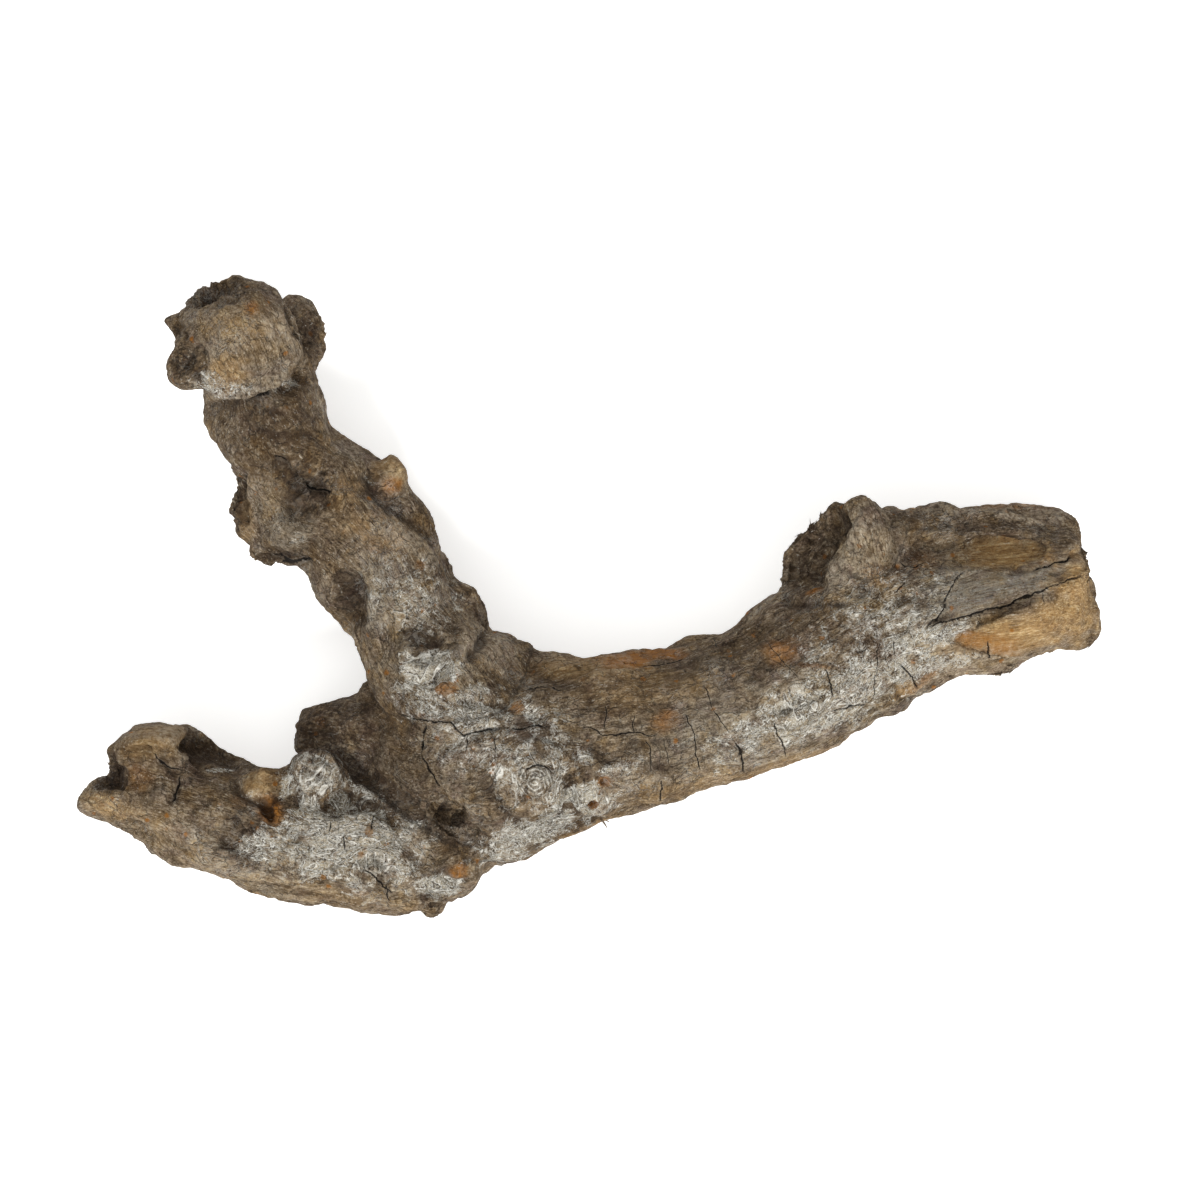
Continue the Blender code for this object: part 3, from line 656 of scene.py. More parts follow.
# %% Folds
# Each fold: its points as pixels, width, depth of the groove and height of the step in mm.
FOLDS = (
    (((200, 402), (225, 403), (248, 401), (267, 394), (285, 386), (296, 380)), 1.5, 1.5, 1.2),
    (((238, 419), (255, 412), (275, 411), (296, 417)), 1.7, 1.0, 0.5),
    (((248, 437), (262, 432), (280, 438), (300, 433), (325, 437)), 1.7, 1.1, 0.5),
    (((284, 299), (290, 315), (298, 331), (310, 352), (318, 366)), 1.8, 1.6, -1.2),
    (((299, 316), (309, 334), (315, 350)), 3.0, 1.8, 0.0),
    (((197, 340), (203, 352), (203, 372), (198, 392)), 1.5, 1.2, 0.4),
    (((182, 322), (176, 332), (188, 337)), 1.3, 1.2, 0.0),
    (((190, 304), (212, 307), (232, 301), (247, 291)), 1.3, 0.9, -0.6),
    (((220, 350), (236, 362), (240, 378)), 2.4, 0.6, 0.3),
    (((271, 458), (284, 466), (292, 474), (312, 484), (333, 492)), 1.9, 2.4, 0.6),
    (((288, 500), (300, 488), (314, 478), (327, 469)), 1.9, 2.0, 0.0),
    (((276, 504), (296, 511), (315, 507), (332, 497)), 2.2, 1.3, -0.6),
    (((246, 470), (243, 490), (244, 510), (247, 532)), 1.4, 1.6, 1.1),
    (((262, 545), (285, 553), (305, 549), (320, 534)), 1.7, 1.2, 0.8),
    (((252, 556), (272, 561), (295, 561), (312, 564)), 1.3, 1.3, 0.4),
    (((371, 468), (373, 486), (381, 499), (398, 502)), 1.5, 1.5, 0.9),
    (((333, 440), (350, 455), (368, 462)), 2.5, -0.9, 0.0),
    (((385, 505), (402, 516), (420, 528), (434, 545)), 2.2, 1.3, -0.6),
    (((359, 531), (385, 528), (405, 536), (424, 552), (436, 575)), 2.8, -0.9, 0.0),
    (((358, 564), (366, 585), (366, 610), (358, 634)), 1.5, 0.4, 1.4),
    (((335, 564), (331, 590), (340, 620), (354, 638)), 1.5, 0.3, -0.9),
    (((492, 622), (484, 636), (478, 650), (470, 664)), 1.9, 2.2, 0.8),
    (((394, 650), (400, 634), (418, 624), (434, 631), (443, 648), (445, 668), (434, 682), (410, 682)),
     1.5, 1.2, 0.3),
    (((407, 640), (418, 633), (431, 638), (434, 652), (428, 664)), 1.2, 1.3, 0.0),
    (((404, 660), (416, 668), (432, 672)), 1.1, -0.8, 0.0),
    (((445, 610), (455, 620), (456, 636), (448, 652)), 2.0, 1.0, 0.5),
    (((410, 696), (440, 702), (470, 698), (510, 704), (545, 720), (562, 745)), 1.5, 0.9, 0.8),
    (((496, 768), (493, 790), (503, 812), (520, 827), (541, 831), (559, 820), (569, 802), (571, 782)),
     1.7, 1.9, 0.5),
    (((516, 774), (516, 790), (529, 800), (547, 797), (556, 783), (550, 767), (534, 762)), 1.1, 1.0, 0.2),
    (((499, 756), (515, 743), (540, 738), (563, 747), (575, 763)), 1.5, 1.0, -0.6),
    (((480, 756), (485, 778), (487, 800)), 1.7, 0.9, 0.4),
    (((507, 800), (520, 812), (540, 816), (556, 808)), 1.2, 0.9, 0.3),
    (((573, 768), (570, 790), (575, 812), (590, 823), (607, 817)), 1.3, 1.4, 0.4),
    (((470, 851), (500, 846), (530, 839), (562, 831), (600, 818)), 1.8, 0.9, 0.5),
    (((587, 746), (600, 752), (616, 764)), 2.2, 1.3, 0.4),
    (((340, 750), (362, 771), (390, 791), (410, 808), (430, 826), (452, 840), (484, 847)), 2.8, 2.8, 0.8),
    (((440, 783), (447, 800), (440, 818)), 1.2, 0.9, 0.3),
    (((458, 788), (463, 808), (455, 828)), 1.2, 1.0, 0.5),
    (((474, 796), (481, 816), (475, 838)), 1.2, 0.9, 0.3),
    (((436, 806), (455, 812), (478, 808)), 1.1, 0.7, 0.4),
    (((186, 723), (189, 734), (182, 743), (190, 757), (199, 771)), 1.3, 1.6, -1.6),
    (((193, 738), (210, 748), (226, 758), (242, 765)), 2.8, 2.2, 0.0),
    (((154, 756), (166, 768), (178, 778), (174, 790), (170, 806)), 1.3, 1.3, -0.6),
    (((97, 772), (108, 778), (126, 787)), 2.6, 3.4, 0.0),
    (((109, 751), (112, 762), (120, 772)), 1.5, 2.0, 0.4),
    (((120, 752), (140, 746), (165, 748), (182, 744)), 1.6, 0.9, 0.7),
    (((82, 802), (91, 791), (99, 782)), 1.3, 0.9, 0.0),
    (((235, 771), (237, 788), (250, 800), (268, 803), (285, 792)), 1.5, 1.6, 0.5),
    (((287, 758), (289, 780), (301, 797), (322, 805), (343, 801), (354, 783)), 1.7, 1.8, 0.7),
    (((298, 764), (312, 775), (330, 777)), 1.2, 1.3, 0.3),
    (((302, 782), (318, 791), (338, 789)), 1.2, 1.3, 0.3),
    (((306, 754), (320, 761), (336, 765)), 1.2, 1.1, 0.2),
    (((221, 834), (235, 849), (252, 853), (264, 842)), 2.8, 1.8, 0.5),
    (((230, 818), (242, 828), (256, 826)), 1.6, 1.2, 0.4),
    (((323, 818), (345, 811), (363, 808), (384, 816), (399, 830)), 1.5, 1.3, -1.0),
    (((288, 820), (299, 840), (319, 851)), 1.5, 1.0, 0.5),
    (((340, 838), (360, 846), (384, 842)), 1.4, 0.9, 0.5),
    (((359, 867), (374, 859), (389, 868), (391, 885), (376, 893)), 1.1, 1.3, 0.3),
    (((366, 873), (378, 876), (385, 887)), 1.1, 1.3, 0.0),
    (((200, 869), (240, 881), (280, 889), (330, 897)), 1.3, 0.9, 0.6),
    (((300, 877), (340, 885), (380, 893), (412, 899)), 1.3, 1.0, 0.5),
    (((120, 815), (160, 835), (200, 856)), 1.5, 0.8, 0.5),
    (((444, 865), (449, 881), (466, 885)), 1.3, 1.2, 0.3),
    (((418, 900), (430, 893), (448, 896)), 1.2, 1.1, -0.7),
    (((392, 833), (410, 850), (424, 872)), 1.8, 1.2, 0.5),
    (((520, 667), (545, 676), (580, 683), (620, 681), (660, 676)), 2.2, 0.8, 0.5),
    (((575, 694), (600, 704), (640, 708), (680, 702)), 2.6, 0.9, 0.4),
    (((700, 658), (730, 672), (760, 690), (790, 712)), 2.8, -0.8, 0.0),
    (((612, 752), (640, 742), (682, 739)), 1.9, 0.9, 0.5),
    (((640, 768), (680, 764), (720, 752)), 2.0, 0.7, 0.4),
    (((700, 700), (716, 722), (720, 745)), 1.6, 0.6, 0.4),
    (((776, 704), (792, 712), (815, 706)), 1.6, 1.4, 0.4),
    (((740, 655), (770, 662), (800, 656), (830, 662)), 2.0, 0.8, 0.5),
    (((884, 514), (895, 532), (886, 560), (880, 584)), 1.8, 1.0, -0.7),
    (((847, 508), (849, 526), (841, 544), (829, 564), (823, 578), (829, 597)), 1.5, 0.8, 1.8),
    (((843, 503), (822, 515), (803, 533), (786, 561), (781, 592)), 1.4, 0.5, -1.0),
    (((784, 577), (800, 579), (819, 575)), 1.0, 1.2, -0.8),
    (((789, 560), (806, 561), (827, 553)), 1.0, 1.0, 0.3),
    (((799, 541), (818, 541), (837, 531)), 1.0, 1.0, 0.3),
    (((778, 600), (800, 603), (830, 600), (852, 607)), 1.5, 1.4, 0.6),
    (((850, 560), (862, 585), (884, 596), (906, 590)), 1.9, 0.9, 0.5),
    (((905, 524), (950, 520), (1000, 525), (1050, 529), (1072, 541)), 1.8, 0.7, 1.3),
    (((898, 546), (930, 549), (962, 542)), 1.6, 0.4, 0.4),
    (((962, 541), (980, 537), (1010, 536), (1040, 538), (1052, 549)), 0.9, 0.2, 1.6),
    (((890, 600), (915, 596), (935, 606)), 1.5, 0.9, 0.5),
    (((860, 625), (890, 632), (915, 622)), 1.8, 0.8, 0.5),
    (((950, 662), (975, 658), (1000, 661), (1032, 657)), 0.9, 1.0, 1.4),
    (((1000, 574), (1030, 569), (1060, 560), (1087, 548)), 0.9, 0.8, 0.6),
    (((960, 592), (990, 587), (1030, 579), (1072, 566)), 0.8, 0.6, 0.3),
    (((925, 642), (950, 635), (978, 628)), 1.0, 0.7, 0.4),
    (((1084, 545), (1088, 560), (1086, 572)), 1.0, 0.8, 0.0),
    (((893, 682), (903, 702), (920, 698)), 1.3, 1.1, 0.3),
    (((880, 701), (860, 713), (830, 731)), 1.7, 0.9, -0.5),
)


def from_line(line):
    """Distance across a line of pixels in mm, positive on its left, and the way along it."""
    nearest = np.full(len(points), np.inf)
    signed = np.zeros(len(points))
    along = np.zeros(len(points))
    run = 0.0
    for (ax, ay), (bx, by) in zip(line[:-1], line[1:]):
        length = math.hypot(bx - ax, by - ay)
        ux, uy = (bx - ax) / length, (by - ay) / length
        ox, oy = seen_x - ax, seen_y - ay
        t = np.clip(ox * ux + oy * uy, 0, length)
        gap = np.hypot(ox - t * ux, oy - t * uy)
        side = np.where(ox * uy - oy * ux > 0, 1, -1)
        near = gap < nearest
        nearest[near] = gap[near]
        signed[near] = (gap * side)[near]
        along[near] = run + t[near]
        run += length
    return signed * PX / MM, along / run


# Every fold's width, depth and step are multiplied by these.
FOLD_WIDTH = 1.3
FOLD_DEPTH = 1.7
for line, width, groove, step in FOLDS:
    gap, way = from_line(line)
    gap = (gap + 0.9 * ragged + 0.4 * wobble) / FOLD_WIDTH
    hold = np.clip(np.sin(np.pi * way) * 2.2, 0, 1) * facing_up
    carving -= FOLD_DEPTH * groove * np.exp(-((gap / width) ** 2)) * hold
    carving += FOLD_DEPTH * step * np.tanh(gap / width) * np.exp(-((gap / (5 * width)) ** 2)) * hold
print("folds:", len(FOLDS))

# %% [markdown]
# ## Cracks
# Wood shrinks more across its grain than along it, so driftwood splits in long checks, and its
# outer skin breaks into short cracks across them. Each crack is a line over the photograph with
# a width and a depth. Two families are kept apart, because a point remembers only its distance
# from the nearest crack of a family. The distance is signed, left or right of the line: its
# nought then falls between the points, and the shader can draw a line thinner than the net.

# %% Cracks
# Each crack: its points as pixels, its width and depth in mm.
LONG_CRACKS = (
    (((920, 632), (938, 623), (971, 616), (1009, 605), (1047, 589), (1066, 582), (1091, 573)), 1.15, 2.0),
    (((1034, 568), (1054, 564), (1074, 555)), 1.2, 1.4),
    (((393, 711), (411, 719), (430, 722), (450, 722), (462, 737), (474, 733), (503, 725)), 1.1, 1.6),
    (((508, 728), (526, 724), (539, 722), (552, 727)), 1.0, 1.2),
    (((578, 728), (590, 727), (605, 735), (633, 733), (659, 735)), 0.9, 1.2),
    (((232, 400), (252, 400), (270, 394), (289, 378)), 1.6, 1.6),
    (((289, 480), (311, 485), (332, 492)), 1.4, 1.8),
    (((330, 818), (345, 812), (362, 809), (382, 816)), 1.0, 0.9),
    (((365, 868), (374, 877), (385, 888), (395, 893)), 1.0, 1.2),
    (((152, 753), (161, 764), (182, 770)), 1.0, 0.8),
    (((524, 770), (534, 765), (546, 767), (554, 774)), 1.2, 1.0),
    (((830, 712), (850, 706), (875, 704)), 0.9, 0.8),
    (((525, 690), (545, 684), (562, 690)), 1.0, 0.8),
    (((900, 560), (912, 566), (925, 562)), 0.8, 0.8),
    (((640, 668), (665, 665), (685, 658)), 0.8, 0.7),
    (((270, 560), (290, 566), (312, 562)), 1.2, 1.0),
)
CROSS_CRACKS = (
    (((968, 570), (958, 576), (955, 586), (947, 594), (945, 607), (938, 619), (921, 631)), 1.3, 1.8),
    (((426, 721), (422, 740), (422, 756), (434, 775), (441, 790)), 1.2, 1.4),
    (((684, 712), (694, 733), (697, 758), (701, 774)), 0.8, 0.8),
    (((703, 684), (712, 707), (730, 733)), 0.6, 0.5),
    (((736, 740), (741, 752), (745, 774)), 1.3, 1.6),
    (((646, 739), (652, 753), (652, 774)), 0.7, 0.6),
    (((664, 740), (671, 766)), 0.6, 0.5),
    (((662, 780), (660, 803)), 1.0, 1.2),
    (((605, 703), (606, 730)), 0.7, 0.7),
    (((634, 715), (634, 733)), 0.7, 0.7),
    (((494, 738), (495, 752)), 0.7, 0.7),
    (((773, 721), (780, 740), (788, 758)), 0.9, 0.9),
    (((825, 668), (831, 680), (832, 697)), 0.9, 0.9),
    (((892, 642), (895, 655)), 0.8, 0.7),
    (((900, 665), (913, 678), (918, 690)), 1.3, 1.4),
    (((988, 640), (989, 659)), 1.0, 1.2),
    (((1044, 592), (1044, 603)), 0.8, 0.8),
    (((905, 581), (896, 592)), 0.9, 1.0),
    (((180, 774), (176, 785), (171, 804)), 1.1, 1.2),
    (((329, 821), (330, 833)), 0.9, 1.0),
    (((344, 835), (346, 850)), 0.8, 0.8),
    (((373, 814), (373, 831)), 0.9, 1.0),
    (((388, 886), (388, 902)), 0.8, 0.8),
    (((275, 459), (289, 468), (292, 478)), 1.6, 2.0),
    (((467, 733), (467, 753)), 0.6, 0.5),
    (((715, 636), (717, 648)), 0.6, 0.5),
    (((880, 640), (873, 700)), 0.5, 0.4),
    (((765, 640), (800, 680)), 0.4, 0.3),
)

# The black is painted shade deep in the crack.
CRACK_SHARE = 0.55  # of a crack's width that shows black, between its broken edges

for family, cracks in {"long_crack": LONG_CRACKS, "cross_crack": CROSS_CRACKS}.items():
    nearest = np.full(len(points), np.inf)
    signed = np.full(len(points), 9.0)
    open_share = np.zeros(len(points))
    for line, width, deep in cracks:
        gap, way = from_line(line)
        gap = gap + 0.5 * ragged + 0.45 * wobble
        ends = np.clip(np.sin(np.pi * way) * 1.8, 0, 1)
        near = np.abs(gap) < nearest
        nearest[near] = np.abs(gap)[near]
        signed[near] = (gap * 2 / (width * CRACK_SHARE))[near]
        strength = ends * facing_up * np.exp(-((gap / 5) ** 2))
        open_share[near] = strength[near]
        groove = np.clip(1 - np.abs(gap) / (width * 0.5 + 0.35), 0, 1)
        carving -= 0.7 * deep * groove * ends * facing_up
        # The wood curls up a little along both sides of a drying crack.
        carving += 0.25 * width * np.exp(-(((np.abs(gap) - width * 0.9) / 0.9) ** 2)) * ends * facing_up
    keep(family, np.clip(signed, -9, 9))
    keep(family + "_open", open_share)
    print(family, len(cracks))
keep("carving", carving * MM)

# %% [markdown]
# ## Worn skin
# Between the marks the surface follows rules: fibres along the grain, gnarls, small plates where
# the last bark has dried, crumbs in rotten places. That is a job for Geometry Nodes. The tree
# takes the fine blank, reads the names stored above and moves each point along its normal. Its
# sizes are named inputs, so that the wood can be made rougher or smoother by hand.

# %% Geometry Nodes relief
relief = bpy.data.node_groups.new("weathered_relief", "GeometryNodeTree")
relief.interface.new_socket("Geometry", in_out="INPUT", socket_type="NodeSocketGeometry")
relief.interface.new_socket("Geometry", in_out="OUTPUT", socket_type="NodeSocketGeometry")
RELIEF_SIZES = {
    "Fibre width": 2.4 * MM,
    "Fibre run": 30 * MM,
    "Fibre height": 0.34 * MM,
    "Gnarl size": 9 * MM,
    "Gnarl height": 0.42 * MM,
    "Plate size": 6 * MM,
    "Plate height": 0.5 * MM,
    "Crumb size": 6.5 * MM,
    "Crumb height": 2.0 * MM,
}
for title in RELIEF_SIZES:
    relief.interface.new_socket(title, in_out="INPUT", socket_type="NodeSocketFloat")
relief.interface.new_socket("Seed", in_out="INPUT", socket_type="NodeSocketFloat")
relief.interface.new_socket("Wood", in_out="INPUT", socket_type="NodeSocketMaterial")

start = add(relief, "NodeGroupInput").outputs
place = add(relief, "GeometryNodeInputPosition").outputs[0]
outward = add(relief, "GeometryNodeInputNormal").outputs[0]
stored = {}
for name in ("grain", "carving", "crumble", "planed"):
    kind = "FLOAT_VECTOR" if name == "grain" else "FLOAT"
    stored[name] = add(relief, "GeometryNodeInputNamedAttribute", {"Name": name}, data_type=kind).outputs[0]

stretch = add(relief, "ShaderNodeCombineXYZ", {
    0: start["Fibre run"], 1: start["Fibre width"], 2: start["Fibre width"],
}).outputs[0]
fibre_place = add(relief, "ShaderNodeVectorMath", {0: stored["grain"], 1: stretch}, operation="DIVIDE")
fibre = add(relief, "ShaderNodeTexNoise", {
    "Vector": fibre_place.outputs[0], "W": start["Seed"], "Scale": 1.0, "Detail": 3.0, "Roughness": 0.6,
    "Distortion": 0.4,
}, noise_dimensions="4D")
fibre_rise = add(relief, "ShaderNodeMapRange", {
    "Value": fibre.outputs[0], "From Min": 0.3, "From Max": 0.7, "To Min": -1.0, "To Max": 1.0,
}, clamp=False)
fibre_height = add(relief, "ShaderNodeMath", {
    0: fibre_rise.outputs[0], 1: start["Fibre height"],
}, operation="MULTIPLY")

gnarl_scale = add(relief, "ShaderNodeMath", {0: 1.0, 1: start["Gnarl size"]}, operation="DIVIDE")
gnarl = add(relief, "ShaderNodeTexNoise", {
    "Vector": place, "W": start["Seed"], "Scale": gnarl_scale.outputs[0], "Detail": 2.0, "Roughness": 0.5,
    "Distortion": 0.3,
}, noise_dimensions="4D")
gnarl_fold = add(relief, "ShaderNodeMath", {0: gnarl.outputs[0], 1: 0.5}, operation="SUBTRACT")
gnarl_crease = add(relief, "ShaderNodeMath", {0: gnarl_fold.outputs[0]}, operation="ABSOLUTE")
gnarl_rise = add(relief, "ShaderNodeMapRange", {
    "Value": gnarl_crease.outputs[0], "From Min": 0.0, "From Max": 0.2, "To Min": -1.0, "To Max": 1.0,
}, clamp=False)
gnarl_height = add(relief, "ShaderNodeMath", {
    0: gnarl_rise.outputs[0], 1: start["Gnarl height"],
}, operation="MULTIPLY")

plate_stretch = add(relief, "ShaderNodeMath", {0: start["Plate size"], 1: 2.2}, operation="MULTIPLY")
plate_cell = add(relief, "ShaderNodeCombineXYZ", {
    0: plate_stretch.outputs[0], 1: start["Plate size"], 2: start["Plate size"],
})
plate_place = add(relief, "ShaderNodeVectorMath", {
    0: stored["grain"], 1: plate_cell.outputs[0],
}, operation="DIVIDE")
plate_shift = add(relief, "ShaderNodeTexNoise", {
    "Vector": plate_place.outputs[0], "Scale": 1.6, "Detail": 2.0,
})
plate_bent = add(relief, "ShaderNodeVectorMath", {
    0: plate_shift.outputs["Color"], 1: (0.8, 0.8, 0.8), 2: plate_place.outputs[0],
}, operation="MULTIPLY_ADD")
plates = add(relief, "ShaderNodeTexVoronoi", {"Vector": plate_bent.outputs[0], "Scale": 1.0})
plate_level = add(relief, "FunctionNodeSeparateColor", {0: plates.outputs["Color"]})
plate_rise = add(relief, "ShaderNodeMapRange", {
    "Value": plate_level.outputs[0], "From Min": 0.0, "From Max": 1.0, "To Min": -1.0, "To Max": 1.0,
})
plate_height = add(relief, "ShaderNodeMath", {
    0: plate_rise.outputs[0], 1: start["Plate height"],
}, operation="MULTIPLY")
# Plates come in patches: most of the skin has worn smooth.
patchy = add(relief, "ShaderNodeTexNoise", {"Vector": place, "Scale": 1 / (30 * MM), "Detail": 2.0})
patch_share = add(relief, "ShaderNodeMapRange", {
    "Value": patchy.outputs[0], "From Min": 0.45, "From Max": 0.58,
})
plate_height = add(relief, "ShaderNodeMath", {
    0: plate_height.outputs[0], 1: patch_share.outputs[0],
}, operation="MULTIPLY")

crumb_scale = add(relief, "ShaderNodeMath", {0: 1.0, 1: start["Crumb size"]}, operation="DIVIDE")
crumb = add(relief, "ShaderNodeTexNoise", {
    "Vector": place, "W": start["Seed"], "Scale": crumb_scale.outputs[0], "Detail": 3.0, "Roughness": 0.65,
    "Distortion": 0.6,
}, noise_dimensions="4D")
# The noise is folded at its middle, which turns it into lumps with sharp creases between them.
crumb_fold = add(relief, "ShaderNodeMath", {0: crumb.outputs[0], 1: 0.5}, operation="SUBTRACT")
crumb_crease = add(relief, "ShaderNodeMath", {0: crumb_fold.outputs[0]}, operation="ABSOLUTE")
crumb_rise = add(relief, "ShaderNodeMapRange", {
    "Value": crumb_crease.outputs[0], "From Min": 0.0, "From Max": 0.16, "To Min": -1.0, "To Max": 0.5,
}, clamp=False)
crumb_height = add(relief, "ShaderNodeMath", {
    0: crumb_rise.outputs[0], 1: start["Crumb height"],
}, operation="MULTIPLY")
crumb_share = add(relief, "ShaderNodeMath", {
    0: crumb_height.outputs[0], 1: stored["crumble"],
}, operation="MULTIPLY")

rough = add(relief, "ShaderNodeMath", {
    0: gnarl_height.outputs[0], 1: plate_height.outputs[0],
}, operation="ADD")
# A planed panel keeps its fibres but loses its lumps and plates.
kept = add(relief, "ShaderNodeMath", {0: 1.0, 1: stored["planed"]}, operation="SUBTRACT")
rise = add(relief, "ShaderNodeMath", {0: rough.outputs[0], 1: kept.outputs[0]}, operation="MULTIPLY")
for part in (fibre_height.outputs[0], crumb_share.outputs[0], stored["carving"]):
    rise = add(relief, "ShaderNodeMath", {0: rise.outputs[0], 1: part}, operation="ADD")
height_over_floor = add(relief, "ShaderNodeSeparateXYZ", {0: place})
# Below 8 mm over the floor the relief is worn away, so that the three feet stay where they are.
worn = add(relief, "ShaderNodeMapRange", {
    "Value": height_over_floor.outputs[2], "From Min": 0.5 * MM, "From Max": 8 * MM,
})
rise = add(relief, "ShaderNodeMath", {0: rise.outputs[0], 1: worn.outputs[0]}, operation="MULTIPLY")
shift = add(relief, "ShaderNodeVectorMath", {0: outward, "Scale": rise.outputs[0]}, operation="SCALE")
marked = add(relief, "GeometryNodeStoreNamedAttribute", {
    "Geometry": start["Geometry"], "Name": "relief", "Value": rise.outputs[0],
}, data_type="FLOAT", domain="POINT")
carved = add(relief, "GeometryNodeSetPosition", {"Geometry": marked.outputs[0], "Offset": shift.outputs[0]})
above_floor = add(relief, "ShaderNodeVectorMath", {0: place, 1: (-9.0, -9.0, 0.0)}, operation="MAXIMUM")
grounded = add(relief, "GeometryNodeSetPosition", {
    "Geometry": carved.outputs[0], "Position": above_floor.outputs[0],
})
whole = add(relief, "GeometryNodeRealizeInstances", {"Geometry": grounded.outputs[0]})
dressed = add(relief, "GeometryNodeSetMaterial", {"Geometry": whole.outputs[0], "Material": start["Wood"]})
add(relief, "NodeGroupOutput", {"Geometry": dressed.outputs[0]})
print("relief tree:", len(relief.nodes), "nodes")

# %% [markdown]
# ## The finish
# The real finish is bare, sun-bleached wood: no varnish, dry and dusty, so it is rough all over
# and never shines. What the eye reads is its layers: brown-grey skin, tan wood where that has come
# off, painted shade in the lows and pale crust on top. The shader stacks them in that order, coat by coat.

# %% Weathered driftwood material
WOOD = {
    "skin_deep": "#2b2218",
    "skin_dark": "#594a38",
    "skin_mid": "#877762",
    "skin_light": "#b8ac98",
    # The umber is also the colour of painted shade on upper sides.
    "umber_and_shade": "#503f2a",
    "pale_dark": "#6d6150",
    "pale_mid": "#a89c88",
    "pale_light": "#dad2c2",
    "ash": "#85837c",
    "bare_dark": "#7a5933",
    "bare_mid": "#ab8857",
    "bare_light": "#dcbf8c",
    "rust": "#96601f",
    "film": "#aaa392",
    "crust": "#e0ddd3",
    # The rot colour is also painted shade in the lows, in crevices and under the flakes.
    "rot_and_shade": "#31241a",
    # Painted shade deep in the cracks.
    "crack": "#140f0a",
}
finish = bpy.data.materials.new("weathered_driftwood")
finish.use_nodes = True
tree = finish.node_tree
shader = tree.nodes["Principled BSDF"]
shader.inputs["Roughness"].default_value = 0.92
shader.inputs["IOR"].default_value = 1.5
shader.inputs["Specular IOR Level"].default_value = 0.25

known = {}
for name in ("grain", "relief", "ring", "ring_gap", "planed", "crust", "ash", "bare", "pale",
             "rust", "rot_and_shade", "umber_and_shade", "long_crack", "long_crack_open", "cross_crack", "cross_crack_open"):
    node = add(tree, "ShaderNodeAttribute", attribute_name=name)
    known[name] = node.outputs["Vector" if name == "grain" else "Fac"]
body = add(tree, "ShaderNodeTexCoord").outputs["Object"]


def field(vector, sizes, detail, roughness, distortion=0.0):
    """Noise whose lumps have the given sizes in mm along the three directions of the vector."""
    scaled = add(tree, "ShaderNodeVectorMath", {
        0: vector, 1: [1 / (size * MM) for size in sizes],
    }, operation="MULTIPLY")
    return add(tree, "ShaderNodeTexNoise", {
        "Vector": scaled.outputs[0], "Scale": 1.0, "Detail": detail, "Roughness": roughness,
        "Distortion": distortion,
    }).outputs[0]


def between(value, low, high, to_low=0.0, to_high=1.0):
    """Stretches what lies from low to high over a new span, and cuts off the rest."""
    return add(tree, "ShaderNodeMapRange", {
        "Value": value, "From Min": low, "From Max": high, "To Min": to_low, "To Max": to_high,
    }).outputs[0]


def calc(operation, *values):
    """Arithmetic in the shader. A sum or product takes any number of values."""
    total = values[0]
    for value in values[1:] or (None,):
        inputs = {0: total} if value is None else {0: total, 1: value}
        total = add(tree, "ShaderNodeMath", inputs, operation=operation).outputs[0]
    return total


def blend(*weighted):
    """The sum of values, each times its weight."""
    return calc("ADD", *[calc("MULTIPLY", value, weight) for value, weight in weighted])


def layer(under, over, share, way="MIX"):
    """One coat of colour over another, by a share from 0 to 1."""
    over = linear(over) if isinstance(over, str) else over
    return add(tree, "ShaderNodeMix", {
        0: share, 6: under, 7: over,
    }, data_type="RGBA", blend_type=way).outputs[2]


def shades(value, *stops):
    """Colours that follow one value, each stop a place from 0 to 1 and a hex colour."""
    scale = add(tree, "ShaderNodeValToRGB", {"Fac": value})
    marks = scale.color_ramp.elements
    while len(marks) < len(stops):
        marks.new(0.5)
    for mark, (place_on_scale, code) in zip(marks, stops):
        mark.position = place_on_scale
        mark.color = linear(code)
    return scale.outputs[0]


def veins(value, half_width, middle=0.5):
    """Thin lines where a value passes its middle."""
    return between(calc("ABSOLUTE", calc("SUBTRACT", value, middle)), half_width * 0.4, half_width, 1.0, 0.0)


fibres = field(known["grain"], (9, 0.7, 0.7), 5.0, 0.7)
broad_fibres = field(known["grain"], (34, 2.8, 2.8), 4.0, 0.62)
specks = field(body, (0.8, 0.8, 0.8), 2.0, 0.6)
crumbs = field(body, (2.2, 2.2, 2.2), 3.0, 0.62, 0.6)
blotches = field(body, (24, 24, 24), 6.0, 0.62, 0.5)
mottle = field(body, (5, 5, 5), 5.0, 0.7, 0.4)
hues = field(body, (13, 13, 13), 5.0, 0.66, 1.0)
print("nodes after the noises:", len(tree.nodes))

# %% [markdown]
# ## Flaking and crazing
# The dry skin lifts in thin layers, like shingles. The edges of the layers are contour lines of a
# noise: pale along the lifted lip, with painted shade in the gap under it. In patches the skin is
# also crazed, and its fine cracks get painted shade.

# %% Flakes and crazing
LAYERS = 6
stack = calc("MULTIPLY", field(known["grain"], (11, 6, 6), 3.0, 0.5, 1.0), LAYERS)
phase = calc("FRACT", stack)
gap_under = between(phase, 0.86, 1.0)
shingle = calc("SUBTRACT", gap_under, phase)
lip = calc("MAXIMUM", between(phase, 0.05, 0.16, 1.0, 0.0), between(phase, 0.94, 0.98))
# Painted shade: a dark line in the gap under each flake's lip.
flake_gap_shade = veins(phase, 0.1, 0.84)
flaky = calc("MAXIMUM", between(field(body, (18, 18, 18), 3.0, 0.6), 0.44, 0.62), known["crust"])
flaky = calc("MULTIPLY", flaky, between(known["planed"], 0.0, 1.0, 1.0, 0.15))

